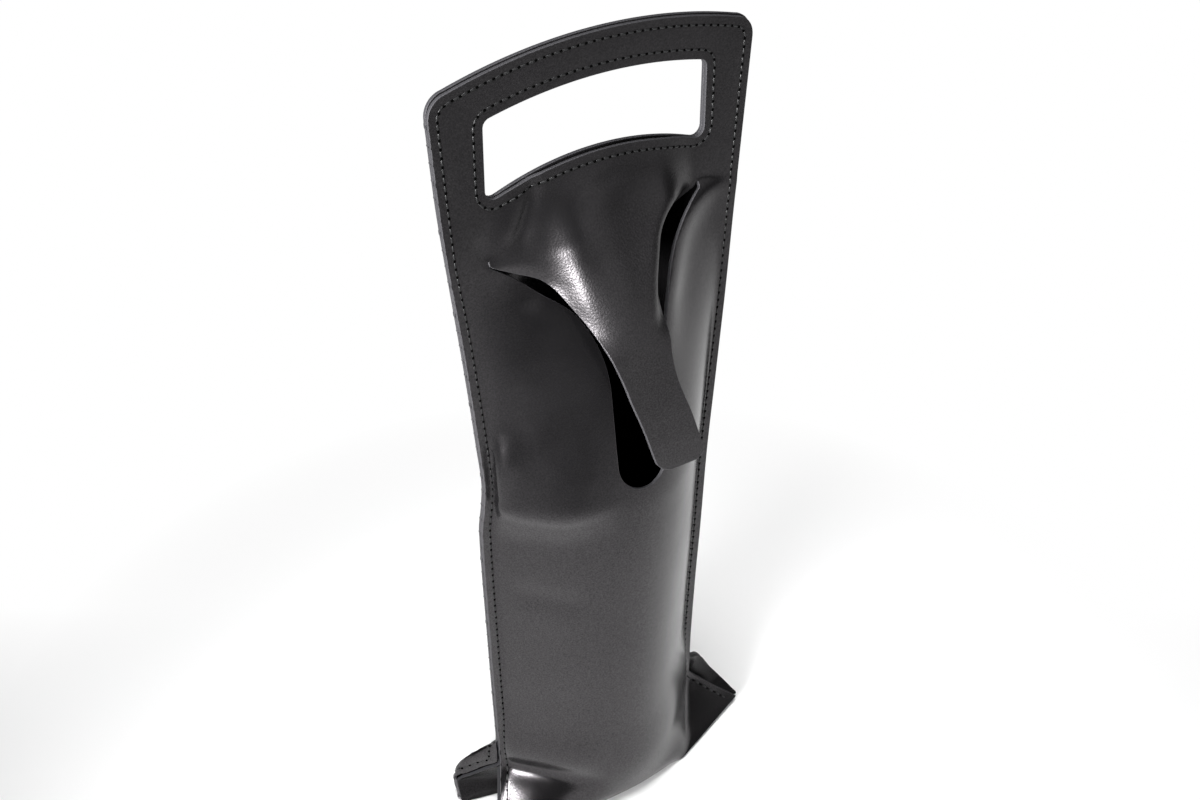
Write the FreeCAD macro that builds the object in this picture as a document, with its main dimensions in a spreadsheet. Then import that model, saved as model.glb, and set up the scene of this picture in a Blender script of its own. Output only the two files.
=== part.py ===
import FreeCAD, Part
import math
import os
import Sketcher

Vector = FreeCAD.Vector

# Driving dimensions in millimetres. Front of the carrier faces -Y, the floor is Z = 0.
SIZES = [
    ("leather_thick", 2.0, "thickness of the hide"),
    ("seam_margin", 9.0, "flat margin outside the bulge, on each side"),
    ("low_half", 62.5, "half width of the bag over its lower body"),
    ("shoulder_half", 66.5, "half width at the bottle's shoulder"),
    ("root_half", 77.0, "half width at the root of the tongue"),
    ("top_half", 82.0, "half width at the upper corners"),
    ("foot_depth", 33.0, "depth of the front leather at the floor, from the seam"),
    ("roll_height", 12.0, "height of the rolled lower fold"),
    ("roll_depth", 38.0, "depth at the top of the rolled fold"),
    ("body_depth", 39.5, "depth of the front leather over the bottle"),
    ("shoulder_height", 205.0, "height where the leather starts to close to the flat top"),
    ("root_height", 133.0, "height of the tongue's root above the shoulder, where the flat top starts"),
    ("root_rise", 0.6, "bulge left at the root"),
    ("corner_height", 75.0, "height of the upper corners above the root, before rounding"),
    ("arch_rise", 13.0, "rise of the arched top edge above its corners"),
    ("corner_radius", 11.0, "rounding of the upper corners"),
    ("hole_half", 56.5, "half width of the hand hole"),
    ("hole_low", 23.5, "height of the hand hole's lower corners above the root"),
    ("hole_low_rise", 11.5, "rise of the hole's arched lower edge"),
    ("hole_high", 13.5, "depth of the hand hole's upper corners below the outer corners"),
    ("hole_high_rise", 7.0, "rise of the hole's arched upper edge"),
    ("hole_radius", 4.0, "rounding of the hand hole's corners"),
    ("tongue_half", 56.0, "half width of the tongue at its root"),
    ("tongue_strip", 3.0, "straight edge of the tongue below its root"),
    ("neck_radius", 85.0, "radius of the two curved cuts that narrow the tongue"),
    ("strap_half", 13.5, "half width of the tongue's strap"),
    ("kerf", 0.6, "gap left by the knife round the tongue"),
    ("slot_bottom", 6.0, "height of the slot's round lower end above the shoulder"),
    ("tip_height", 10.0, "height of the tongue's hanging tip above the slot's lower end"),
    ("tip_reach", 46.0, "distance of the tip in front of the seam"),
    ("tip_shift", 18.0, "sideways lean of the tip"),
    ("tip_radius", 8.0, "rounding of the tip's corners"),
    ("knuckle_radius", 1.4, "radius of the tongue's rounded root"),
    ("hinge_out", 0.7, "distance of the hinge line in front of the panel's face"),
    ("hinge_gap", 0.3, "clearance above the tongue's root"),
    ("split_height", 30.0, "height where each side seam splits into two legs"),
    ("ear_reach", 88.0, "distance of the legs' tips from the middle"),
    ("ear_spread", 9.0, "half distance between the two legs' tips"),
    ("tuck_half", 20.0, "half width of the middle stretch of the lower fold"),
    ("valley_half", 40.0, "half length of the gusset's flat middle"),
    ("stitch_pitch", 4.6, "length of one stitch with its gap"),
    ("stitch_gap", 1.0, "bare leather between two stitches"),
    ("thread_width", 0.8, "width of the thread"),
    ("thread_height", 0.5, "height of the thread above the leather"),
    ("seam_inset", 5.5, "distance of the stitches from the outer edge"),
    ("hole_inset", 4.5, "distance of the stitches from the hand hole"),
]

# Heights above the floor, each built up from the one below it
ROOT = "(sizes.shoulder_height + sizes.root_height)"
CORNER = "(%s + sizes.corner_height)" % ROOT
HOLE_LOW = "(%s + sizes.hole_low)" % ROOT
HOLE_HIGH = "(%s - sizes.hole_high)" % CORNER
SLOT_BOTTOM = "(sizes.shoulder_height + sizes.slot_bottom)"
TIP = "(%s + sizes.tip_height)" % SLOT_BOTTOM
MOUTH_TOP = "(%s + sizes.knuckle_radius + sizes.hinge_gap)" % ROOT

# Blocks that cut the leather reach well past it.
HOLE_CUT = "8 * sizes.leather_thick"
MOUTH_CUT = "2 * sizes.body_depth"
TONGUE_CUT = "2 * sizes.tip_reach"

# The tongue hangs in one arc, level with its hinge line at the root and upright at its tip.
HINGE_Y = "-(sizes.leather_thick + sizes.hinge_out)"
TONGUE_DROP = "(%s - %s)" % (ROOT, TIP)
TONGUE_SWING = "(sizes.tip_reach + (%s))" % HINGE_Y
TONGUE_CURVE = "((%s ^ 2 + %s ^ 2) / (2 * %s))" % (TONGUE_SWING, TONGUE_DROP, TONGUE_SWING)
ROLL_WIDTH = "4 * sizes.tongue_half"

# Sections of the bulge as shares of the body and of the closing chest above it
BODY_SHARES = (0.1, 0.4, 0.7)
CHEST_SHARES = (0.25, 0.5, 0.75)

# A leg's inner row of stitches starts this share of its way down, where the two legs have parted.
PARTED_SHARE = 0.35

doc = FreeCAD.newDocument("bottle_carrier")
sheet = doc.addObject("Spreadsheet::Sheet", "sizes")
for row, (alias, number, note) in enumerate(SIZES, 1):
    sheet.set("A%d" % row, note)
    sheet.set("B%d" % row, str(number))
    sheet.setAlias("B%d" % row, alias)
doc.recompute()


def amount(expression):
    return float(sheet.evalExpression(expression))


def size(alias):
    return amount("sizes." + alias)


# Helpers for sketches and solids

def add_sketch(body, name, plane_role, offset=None):
    sketch = body.newObject("Sketcher::SketchObject", name)
    plane = [item for item in body.Origin.OriginFeatures if item.Role == plane_role][0]
    sketch.AttachmentSupport = [(plane, "")]
    sketch.MapMode = "FlatFace"
    if offset:
        sketch.setExpression("AttachmentOffset.Base.z", offset)
    return sketch


def bind(sketch, kind, references, expression):
    number = amount(expression)
    index = sketch.addConstraint(Sketcher.Constraint(kind, *references, number))
    sketch.setExpression("Constraints[%d]" % index, expression)


def join(sketch, pairs):
    for first, first_end, second, second_end in pairs:
        sketch.addConstraint(Sketcher.Constraint("Coincident", first, first_end, second, second_end))


def line(x_from, y_from, x_to, y_to):
    return Part.LineSegment(Vector(x_from, y_from, 0), Vector(x_to, y_to, 0))


def arc_about(x_centre, y_centre, radius, start_angle, end_angle):
    circle = Part.Circle(Vector(x_centre, y_centre, 0), Vector(0, 0, 1), radius)
    return Part.ArcOfCircle(circle, start_angle, end_angle)


def sagging_arc(half, y_ends, y_middle):
    """Arc from (-half, y_ends) through (0, y_middle), below its ends, to (half, y_ends)."""
    drop = y_ends - y_middle
    radius = (half ** 2 + drop ** 2) / (2 * drop)
    turn = math.asin(half / radius)
    if drop > half:
        turn = math.pi - turn
    return arc_about(0, y_middle + radius, radius, -math.pi / 2 - turn, -math.pi / 2 + turn)


def rising_arc(half, y_ends, rise):
    """Arc from (half, y_ends) over (0, y_ends + rise) to (-half, y_ends)."""
    radius = (half ** 2 + rise ** 2) / (2 * rise)
    turn = math.asin(half / radius)
    return arc_about(0, y_ends + rise - radius, radius, math.pi / 2 - turn, math.pi / 2 + turn)


def boolean(kind, name, base, tool):
    result = doc.addObject(kind, name)
    result.Base = base
    result.Tool = tool
    doc.recompute()
    return result


def fuse(name, pieces):
    result = doc.addObject("Part::MultiFuse", name)
    result.Shapes = pieces
    doc.recompute()
    return result


def shape_object(name, shape):
    result = doc.addObject("Part::Feature", name)
    result.Shape = shape
    return result


def cross_edges(shape, chosen):
    """Names of the edges along Y whose place (x, z) is chosen."""
    names = []
    for number, edge in enumerate(shape.Edges, 1):
        start = edge.Vertexes[0].Point
        end = edge.Vertexes[-1].Point
        along_y = abs(start.x - end.x) < 1e-6 and abs(start.z - end.z) < 1e-6
        if along_y and chosen(start.x, start.z):
            names.append("Edge%d" % number)
    return names


def round_edges(body, base, name, radius, chosen):
    fillet = body.newObject("PartDesign::Fillet", name)
    fillet.Base = (base, cross_edges(base.Shape, chosen))
    fillet.setExpression("Radius", radius)
    doc.recompute()
    return fillet


# The bulged body of one panel: sections from the floor up to the tongue's root

def stations():
    """Level, half width and depth of each section, as expressions on the sheet."""
    levels = [
        ("0", "sizes.low_half", "sizes.foot_depth"),
        ("sizes.roll_height", "sizes.low_half", "sizes.roll_depth"),
    ]
    for share in BODY_SHARES:
        levels.append((
            "sizes.roll_height + %g * (sizes.shoulder_height - sizes.roll_height)" % share,
            "sizes.low_half + %g * (sizes.shoulder_half - sizes.low_half)" % share ** 2,
            "sizes.body_depth",
        ))
    levels.append(("sizes.shoulder_height", "sizes.shoulder_half", "sizes.body_depth"))
    for share in CHEST_SHARES:
        levels.append((
            "sizes.shoulder_height + %g * sizes.root_height" % share,
            "sizes.shoulder_half + %g * (sizes.root_half - sizes.shoulder_half)" % share,
            "sizes.leather_thick + (sizes.body_depth - sizes.leather_thick) * cos(90 deg * %g)" % share,
        ))
    levels.append((ROOT, "sizes.root_half", "sizes.leather_thick + sizes.root_rise"))
    return levels


def outer_section(body, name, level, half, depth):
    """Outside of the leather: two flat margins and the bulge between them."""
    sketch = add_sketch(body, name, "XY_Plane", level)
    edge = amount(half)
    inner = edge - size("seam_margin")
    thick = size("leather_thick")
    sketch.addGeometry([
        line(-edge, 0, -edge, -thick),
        line(-edge, -thick, -inner, -thick),
        sagging_arc(inner, -thick, -amount(depth)),
        line(inner, -thick, edge, -thick),
        line(edge, -thick, edge, 0),
        line(edge, 0, -edge, 0),
    ], False)
    deepest = sketch.addGeometry(Part.Point(Vector(0, -amount(depth), 0)), True)
    join(sketch, [(0, 2, 1, 1), (1, 2, 2, 1), (2, 2, 3, 1), (3, 2, 4, 1), (4, 2, 5, 1), (5, 2, 0, 1)])
    for vertical in (0, 4):
        sketch.addConstraint(Sketcher.Constraint("Vertical", vertical))
    for level_line in (1, 3):
        sketch.addConstraint(Sketcher.Constraint("Horizontal", level_line))
    sketch.addConstraint(Sketcher.Constraint("PointOnObject", 0, 1, -1))
    sketch.addConstraint(Sketcher.Constraint("Symmetric", 0, 1, 4, 2, -2))
    sketch.addConstraint(Sketcher.Constraint("Symmetric", 2, 1, 2, 2, -2))
    sketch.addConstraint(Sketcher.Constraint("PointOnObject", deepest, 1, 2))
    sketch.addConstraint(Sketcher.Constraint("PointOnObject", deepest, 1, -2))
    bind(sketch, "DistanceX", (0, 1, 4, 2), "2 * (%s)" % half)
    bind(sketch, "DistanceY", (0, 2, 0, 1), "sizes.leather_thick")
    bind(sketch, "DistanceX", (1, 1, 1, 2), "sizes.seam_margin")
    bind(sketch, "DistanceY", (deepest, 1, -1, 1), depth)
    return sketch


def inner_section(body, name, level, half, depth):
    """Inside of the leather: the half space between the seam and the bulge."""
    sketch = add_sketch(body, name, "XY_Plane", level)
    inner_half = "(%s) - sizes.seam_margin - sizes.leather_thick" % half
    inner_depth = "(%s) - sizes.leather_thick" % depth
    edge = amount(inner_half)
    sketch.addGeometry([
        sagging_arc(edge, 0, -amount(inner_depth)),
        line(edge, 0, -edge, 0),
    ], False)
    deepest = sketch.addGeometry(Part.Point(Vector(0, -amount(inner_depth), 0)), True)
    join(sketch, [(0, 2, 1, 1), (1, 2, 0, 1)])
    sketch.addConstraint(Sketcher.Constraint("PointOnObject", 0, 1, -1))
    sketch.addConstraint(Sketcher.Constraint("Symmetric", 0, 1, 0, 2, -2))
    sketch.addConstraint(Sketcher.Constraint("PointOnObject", deepest, 1, 0))
    sketch.addConstraint(Sketcher.Constraint("PointOnObject", deepest, 1, -2))
    bind(sketch, "DistanceX", (0, 1, 0, 2), "2 * (%s)" % inner_half)
    bind(sketch, "DistanceY", (deepest, 1, -1, 1), inner_depth)
    return sketch


def loft_through(body, name, make_section):
    sections = []
    for number, (level, half, depth) in enumerate(stations()):
        sections.append(make_section(body, "%s_section_%d" % (name, number), level, half, depth))
    loft = body.newObject("PartDesign::AdditiveLoft", name)
    loft.Profile = sections[0]
    loft.Sections = sections[1:]
    doc.recompute()
    return loft


def handle_plate(body):
    """Flat upper end of the panel, with its arched top edge and rounded corners."""
    sketch = add_sketch(body, "handle_outline", "XZ_Plane")
    low = amount(ROOT)
    high = amount(CORNER)
    low_half = size("root_half")
    high_half = size("top_half")
    sketch.addGeometry([
        line(-low_half, low, low_half, low),
        line(low_half, low, high_half, high),
        rising_arc(high_half, high, size("arch_rise")),
        line(-high_half, high, -low_half, low),
    ], False)
    crown = sketch.addGeometry(Part.Point(Vector(0, high + size("arch_rise"), 0)), True)
    join(sketch, [(0, 2, 1, 1), (1, 2, 2, 1), (2, 2, 3, 1), (3, 2, 0, 1)])
    sketch.addConstraint(Sketcher.Constraint("Symmetric", 0, 1, 0, 2, -2))
    sketch.addConstraint(Sketcher.Constraint("Symmetric", 2, 1, 2, 2, -2))
    sketch.addConstraint(Sketcher.Constraint("PointOnObject", crown, 1, 2))
    sketch.addConstraint(Sketcher.Constraint("PointOnObject", crown, 1, -2))
    bind(sketch, "DistanceX", (0, 1, 0, 2), "2 * sizes.root_half")
    bind(sketch, "DistanceY", (-1, 1, 0, 1), ROOT)
    bind(sketch, "DistanceX", (2, 2, 2, 1), "2 * sizes.top_half")
    bind(sketch, "DistanceY", (-1, 1, 2, 1), CORNER)
    bind(sketch, "DistanceY", (2, 1, crown, 1), "sizes.arch_rise")
    pad = body.newObject("PartDesign::Pad", "handle_plate")
    pad.Profile = sketch
    pad.setExpression("Length", "sizes.leather_thick")
    doc.recompute()
    return round_edges(body, pad, "upper_corners", "sizes.corner_radius",
                       lambda x, z: abs(z - high) < 0.01)


def hand_hole():
    """Arched slot for the hand, long enough in Y to pass through both panels."""
    body = doc.addObject("PartDesign::Body", "hand_hole")
    sketch = add_sketch(body, "hand_hole_outline", "XZ_Plane")
    half = size("hole_half")
    low = amount(HOLE_LOW)
    high = amount(HOLE_HIGH)
    sketch.addGeometry([
        rising_arc(half, low, size("hole_low_rise")),
        line(half, low, half, high),
        rising_arc(half, high, size("hole_high_rise")),
        line(-half, high, -half, low),
    ], False)
    low_crown = sketch.addGeometry(Part.Point(Vector(0, low + size("hole_low_rise"), 0)), True)
    high_crown = sketch.addGeometry(Part.Point(Vector(0, high + size("hole_high_rise"), 0)), True)
    join(sketch, [(0, 1, 1, 1), (1, 2, 2, 1), (2, 2, 3, 1), (3, 2, 0, 2)])
    sketch.addConstraint(Sketcher.Constraint("Vertical", 1))
    sketch.addConstraint(Sketcher.Constraint("Symmetric", 0, 1, 0, 2, -2))
    sketch.addConstraint(Sketcher.Constraint("Symmetric", 2, 1, 2, 2, -2))
    for arc, crown in ((0, low_crown), (2, high_crown)):
        sketch.addConstraint(Sketcher.Constraint("PointOnObject", crown, 1, arc))
        sketch.addConstraint(Sketcher.Constraint("PointOnObject", crown, 1, -2))
    bind(sketch, "DistanceX", (0, 2, 0, 1), "2 * sizes.hole_half")
    bind(sketch, "DistanceY", (-1, 1, 0, 1), HOLE_LOW)
    bind(sketch, "DistanceY", (-1, 1, 2, 1), HOLE_HIGH)
    bind(sketch, "DistanceY", (0, 1, low_crown, 1), "sizes.hole_low_rise")
    bind(sketch, "DistanceY", (2, 1, high_crown, 1), "sizes.hole_high_rise")
    pad = body.newObject("PartDesign::Pad", "hand_hole_cut")
    pad.Profile = sketch
    pad.Midplane = True
    pad.setExpression("Length", HOLE_CUT)
    doc.recompute()
    round_edges(body, pad, "hand_hole_corners", "sizes.hole_radius", lambda x, z: True)
    return body


def tongue_mouth():
    """Cut-out that the tongue leaves in the front panel: two curved shoulders and a slot."""
    body = doc.addObject("PartDesign::Body", "tongue_mouth")
    sketch = add_sketch(body, "tongue_mouth_outline", "XZ_Plane")
    half = size("tongue_half") + size("kerf")
    slot = size("strap_half") + size("kerf")
    radius = size("neck_radius")
    top = amount(MOUTH_TOP)
    strip_end = amount(ROOT) - size("tongue_strip")
    turn = math.acos((slot + radius - half) / radius)
    neck = strip_end - radius * math.sin(turn)
    low = amount(SLOT_BOTTOM) + slot
    sketch.addGeometry([
        line(-half, top, half, top),
        line(half, top, half, strip_end),
        arc_about(slot + radius, neck, radius, math.pi - turn, math.pi),
        line(slot, neck, slot, low),
        arc_about(0, low, slot, math.pi, 2 * math.pi),
        line(-slot, low, -slot, neck),
        arc_about(-slot - radius, neck, radius, 0, turn),
        line(-half, strip_end, -half, top),
    ], False)
    join(sketch, [(0, 2, 1, 1), (1, 2, 2, 1), (2, 2, 3, 1), (3, 2, 4, 2),
                  (4, 1, 5, 1), (5, 2, 6, 1), (6, 2, 7, 1), (7, 2, 0, 1)])
    for vertical in (1, 3, 5, 7):
        sketch.addConstraint(Sketcher.Constraint("Vertical", vertical))
    for arc, end in ((2, 2), (6, 1), (4, 1), (4, 2)):
        sketch.addConstraint(Sketcher.Constraint("Horizontal", arc, 3, arc, end))
    sketch.addConstraint(Sketcher.Constraint("Symmetric", 0, 1, 0, 2, -2))
    sketch.addConstraint(Sketcher.Constraint("PointOnObject", 4, 3, -2))
    sketch.addConstraint(Sketcher.Constraint("Horizontal", 2, 1, 6, 2))
    bind(sketch, "DistanceX", (0, 1, 0, 2), "2 * (sizes.tongue_half + sizes.kerf)")
    bind(sketch, "DistanceY", (-1, 1, 0, 1), MOUTH_TOP)
    bind(sketch, "DistanceY", (-1, 1, 2, 1), "%s - sizes.tongue_strip" % ROOT)
    bind(sketch, "DistanceY", (-1, 1, 4, 3), "%s + sizes.strap_half + sizes.kerf" % SLOT_BOTTOM)
    bind(sketch, "Radius", (2,), "sizes.neck_radius")
    bind(sketch, "Radius", (6,), "sizes.neck_radius")
    bind(sketch, "Radius", (4,), "sizes.strap_half + sizes.kerf")
    pad = body.newObject("PartDesign::Pad", "tongue_mouth_cut")
    pad.Profile = sketch
    pad.setExpression("Length", MOUTH_CUT)
    doc.recompute()
    return body


# Feet: the seams split into legs, and the gusset opens between them

def foot_points(side):
    """Corners of one foot on the leather's inner faces, front half: seam split, leg tip, tuck and valley."""
    split = Vector(side * size("low_half"), 0, size("split_height"))
    tip = Vector(side * size("ear_reach"), -size("ear_spread"), 0)
    inner_half = size("low_half") - size("seam_margin") - size("leather_thick")
    floor_arc = sagging_arc(inner_half, 0, size("leather_thick") - size("foot_depth"))
    reach = math.sqrt(floor_arc.Radius ** 2 - size("tuck_half") ** 2)
    tuck = Vector(side * size("tuck_half"), floor_arc.Center.y - reach, 0)
    valley = Vector(side * size("valley_half"), 0, 0)
    return split, tip, tuck, valley


def flipped(point):
    return Vector(point.x, -point.y, point.z)


def tetrahedron(*corners):
    faces = []
    for skipped in corners:
        ring = [corner for corner in corners if corner is not skipped]
        outward = (ring[1] - ring[0]).cross(ring[2] - ring[0])
        if outward.dot(skipped - ring[0]) > 0:
            ring.reverse()
        faces.append(Part.Face(Part.makePolygon(ring + ring[:1])))
    return Part.makeSolid(Part.makeShell(faces))


def triangle_plate(corners, shift):
    return Part.Face(Part.makePolygon(list(corners) + [corners[0]])).extrude(shift)


def level_thickness(corners):
    """Distance along Y that gives a plate on these corners the leather's thickness."""
    normal = (corners[1] - corners[0]).cross(corners[2] - corners[0])
    normal.normalize()
    return size("leather_thick") / abs(normal.y)


def ear_rooms():
    """Room inside the two front ears, as far as the gusset."""
    rooms = [tetrahedron(*foot_points(side)) for side in (-1, 1)]
    return rooms[0].fuse(rooms[1])


def ear_hollow(side):
    """Open hollow between the front and the back leg of one foot."""
    split, tip, tuck, valley = foot_points(side)
    return tetrahedron(split, tip, flipped(tip), valley)


def ear_hollows():
    return ear_hollow(-1).fuse(ear_hollow(1))


def ear_tab(side):
    """Lower corner of the front panel, spread out as one leg."""
    corners = foot_points(side)[:3]
    return triangle_plate(corners, Vector(0, -level_thickness(corners), 0))


def gusset_ramp(side, front):
    """Part of the gusset that lines one leg, from the floor up to the split of the seam."""
    split, tip, tuck, valley = foot_points(side)
    corners = (split, tip, valley) if front else (split, flipped(tip), valley)
    thick = level_thickness(corners)
    plate = triangle_plate(corners, Vector(0, thick if front else -thick, 0))
    return plate.common(ear_hollow(side))


# Tongue

def tongue_outline():
    """Front view of the tongue: wide root, curved shoulders and a strap that leans sideways."""
    body = doc.addObject("PartDesign::Body", "tongue_outline")
    sketch = add_sketch(body, "tongue_sides", "XZ_Plane")
    half = size("tongue_half")
    strap = size("strap_half")
    radius = size("neck_radius") + size("kerf")
    top = amount(ROOT)
    strip_end = top - size("tongue_strip")
    turn = math.acos((strap + radius - half) / radius)
    neck = strip_end - radius * math.sin(turn)
    tip = amount(TIP)
    shift = size("tip_shift")
    sketch.addGeometry([
        line(-half, top, half, top),
        line(half, top, half, strip_end),
        arc_about(strap + radius, neck, radius, math.pi - turn, math.pi),
        line(strap, neck, shift + strap, tip),
        line(shift + strap, tip, shift - strap, tip),
        line(shift - strap, tip, -strap, neck),
        arc_about(-strap - radius, neck, radius, 0, turn),
        line(-half, strip_end, -half, top),
    ], False)
    join(sketch, [(0, 2, 1, 1), (1, 2, 2, 1), (2, 2, 3, 1), (3, 2, 4, 1),
                  (4, 2, 5, 1), (5, 2, 6, 1), (6, 2, 7, 1), (7, 2, 0, 1)])
    for vertical in (1, 7):
        sketch.addConstraint(Sketcher.Constraint("Vertical", vertical))
    sketch.addConstraint(Sketcher.Constraint("Horizontal", 4))
    for arc, end in ((2, 2), (6, 1)):
        sketch.addConstraint(Sketcher.Constraint("Horizontal", arc, 3, arc, end))
    sketch.addConstraint(Sketcher.Constraint("Symmetric", 0, 1, 0, 2, -2))
    sketch.addConstraint(Sketcher.Constraint("Symmetric", 3, 1, 5, 2, -2))
    sketch.addConstraint(Sketcher.Constraint("Horizontal", 2, 1, 6, 2))
    bind(sketch, "DistanceX", (0, 1, 0, 2), "2 * sizes.tongue_half")
    bind(sketch, "DistanceY", (-1, 1, 0, 1), ROOT)
    bind(sketch, "DistanceY", (-1, 1, 2, 1), "%s - sizes.tongue_strip" % ROOT)
    bind(sketch, "DistanceX", (5, 2, 3, 1), "2 * sizes.strap_half")
    bind(sketch, "Radius", (2,), "sizes.neck_radius + sizes.kerf")
    bind(sketch, "DistanceX", (4, 2, 4, 1), "2 * sizes.strap_half")
    bind(sketch, "DistanceY", (-1, 1, 4, 1), TIP)
    bind(sketch, "DistanceX", (-1, 1, 4, 1), "sizes.tip_shift + sizes.strap_half")
    pad = body.newObject("PartDesign::Pad", "tongue_prism")
    pad.Profile = sketch
    pad.setExpression("Length", TONGUE_CUT)
    doc.recompute()
    round_edges(body, pad, "tongue_tip_corners", "sizes.tip_radius",
                lambda x, z: abs(z - tip) < 0.01)
    return body


def cross_cylinder(name, radius, length, y_place, z_place):
    """Cylinder along X, centred on the middle plane."""
    cylinder = doc.addObject("Part::Cylinder", name)
    cylinder.setExpression("Radius", radius)
    cylinder.setExpression("Height", length)
    cylinder.Placement.Rotation = FreeCAD.Rotation(Vector(0, 1, 0), 90)
    cylinder.setExpression("Placement.Base.x", "-(%s) / 2" % length)
    cylinder.setExpression("Placement.Base.y", y_place)
    cylinder.setExpression("Placement.Base.z", z_place)
    return cylinder


def closure_tongue():
    """Curved leather tongue with a rounded root on its hinge line."""
    half_thick = "sizes.leather_thick / 2"
    centre_y = "%s - sizes.tip_reach" % TONGUE_CURVE
    outside = cross_cylinder("tongue_outside", "%s + %s" % (TONGUE_CURVE, half_thick), ROLL_WIDTH, centre_y, TIP)
    inside = cross_cylinder("tongue_inside", "%s - %s" % (TONGUE_CURVE, half_thick), ROLL_WIDTH, centre_y, TIP)
    skin = boolean("Part::Cut", "tongue_skin", outside, inside)
    strap = boolean("Part::Common", "tongue_strap", skin, tongue_outline())
    knuckle = cross_cylinder("tongue_root", "sizes.knuckle_radius", "2 * sizes.tongue_half", HINGE_Y, ROOT)
    return fuse("closure_tongue", [strap, knuckle])


# Stitches

def stitch(start, end, outward):
    """One stitch lying on the leather from start to end."""
    run = end - start
    run.normalize()
    across = outward.cross(run)
    half_width = across * (size("thread_width") / 2)
    bare = run * (size("stitch_gap") / 2)
    corners = [start + bare - half_width, end - bare - half_width,
               end - bare + half_width, start + bare + half_width]
    face = Part.Face(Part.makePolygon(corners + corners[:1]))
    return face.extrude(outward * size("thread_height"))


def stitches_along(wire, outward):
    count = max(2, round(wire.Length / size("stitch_pitch")))
    points = wire.discretize(Number=count + 1)
    return [stitch(points[i], points[i + 1], outward) for i in range(count)]


def front_view_wire(edges, y_place):
    """Wire of edges drawn in X and Y, set up in X and Z at the given depth."""
    wire = Part.Wire(Part.__sortEdges__(edges))
    wire.rotate(Vector(0, 0, 0), Vector(1, 0, 0), 90)
    wire.translate(Vector(0, y_place, 0))
    return wire


def corner_arc(side_low, side_high, arch_centre, arch_radius, radius):
    """Centre and two touching points of the rounding between a side line and the arch."""
    along = side_high - side_low
    along.normalize()
    inward = Vector(-along.y, along.x, 0)
    start = side_high + inward * radius - arch_centre
    slope = start.dot(along)
    shift = -slope + math.sqrt(slope ** 2 - start.dot(start) + (arch_radius - radius) ** 2)
    centre = arch_centre + start + along * shift
    on_side = centre - inward * radius
    outward = centre - arch_centre
    outward.normalize()
    on_arch = arch_centre + outward * arch_radius
    middle = (on_side + on_arch) * 0.5 - centre
    middle.normalize()
    return on_side, centre + middle * radius, on_arch


def outer_seam_wire(y_place):
    """Line of the long seam: up the left side, over the top and down the right side."""
    inset = size("seam_inset")
    side_points = [Vector(amount(half) - inset, amount(level), 0) for level, half, depth in stations()[2:]]
    split_point = Vector(size("low_half") - inset, size("split_height") + inset, 0)
    side = Part.BSplineCurve()
    side.interpolate([split_point] + side_points)
    root = side_points[-1]
    corner = Vector(size("top_half"), amount(CORNER), 0)
    lean = corner - Vector(size("root_half"), amount(ROOT), 0)
    lean.normalize()
    side_high = corner - Vector(lean.y, -lean.x, 0) * inset
    arch = rising_arc(size("top_half"), amount(CORNER), size("arch_rise"))
    radius = arch.Radius - inset
    on_side, middle, on_arch = corner_arc(root, side_high, arch.Center, radius,
                                          size("corner_radius") - inset)
    crown = arch.Center + Vector(0, radius, 0)
    left_arch = Vector(-on_arch.x, on_arch.y, 0)
    half_edges = [side.toShape(), Part.makeLine(root, on_side), Part.Arc(on_side, middle, on_arch).toShape()]
    mirrored = [edge.mirror(Vector(0, 0, 0), Vector(1, 0, 0)) for edge in half_edges]
    top = Part.Arc(on_arch, crown, left_arch).toShape()
    return front_view_wire(half_edges + [top] + mirrored, y_place)


def hole_seam_wire(hole, y_place):
    """Line of the stitches round the hand hole, parallel to its rounded outline."""
    front = min(hole.Shape.Faces, key=lambda face: face.CenterOfMass.y)
    wire = front.OuterWire.makeOffset2D(size("hole_inset"))
    wire.translate(Vector(0, y_place - front.CenterOfMass.y, 0))
    return wire


def seam_rows(wire_at, depth):
    front = stitches_along(wire_at(-depth), Vector(0, -1, 0))
    back = stitches_along(wire_at(depth), Vector(0, 1, 0))
    return Part.makeCompound(front), Part.makeCompound(back)


def leg_seam(side, front):
    """Stitches of one leg, outside on the panel and inside on the gusset."""
    split, tip, tuck, valley = foot_points(side)
    rows = []
    for corners, away in (((split, tip, tuck), Vector(0, -1, 0)), ((split, tip, valley), Vector(0, 1, 0))):
        outward = (corners[1] - corners[0]).cross(corners[2] - corners[0])
        outward.normalize()
        if outward.dot(away) < 0:
            outward = outward * -1
        edge_run = corners[1] - corners[0]
        edge_run.normalize()
        inward = outward.cross(edge_run)
        if inward.dot(corners[2] - corners[0]) < 0:
            inward = inward * -1
        lift = away * level_thickness(corners) + inward * size("seam_inset")
        start = corners[0] + lift + edge_run * size("seam_inset")
        end = corners[1] + lift - edge_run * size("seam_inset")
        if away.y > 0:
            start = start + (end - start) * PARTED_SHARE
            end = end - edge_run * size("seam_inset")
        rows += stitches_along(Part.Wire([Part.makeLine(start, end)]), outward)
    shape = Part.makeCompound(rows)
    if not front:
        shape = shape.mirror(Vector(0, 0, 0), Vector(0, 1, 0))
    return shape


# Assembly of the sub-parts

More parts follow.
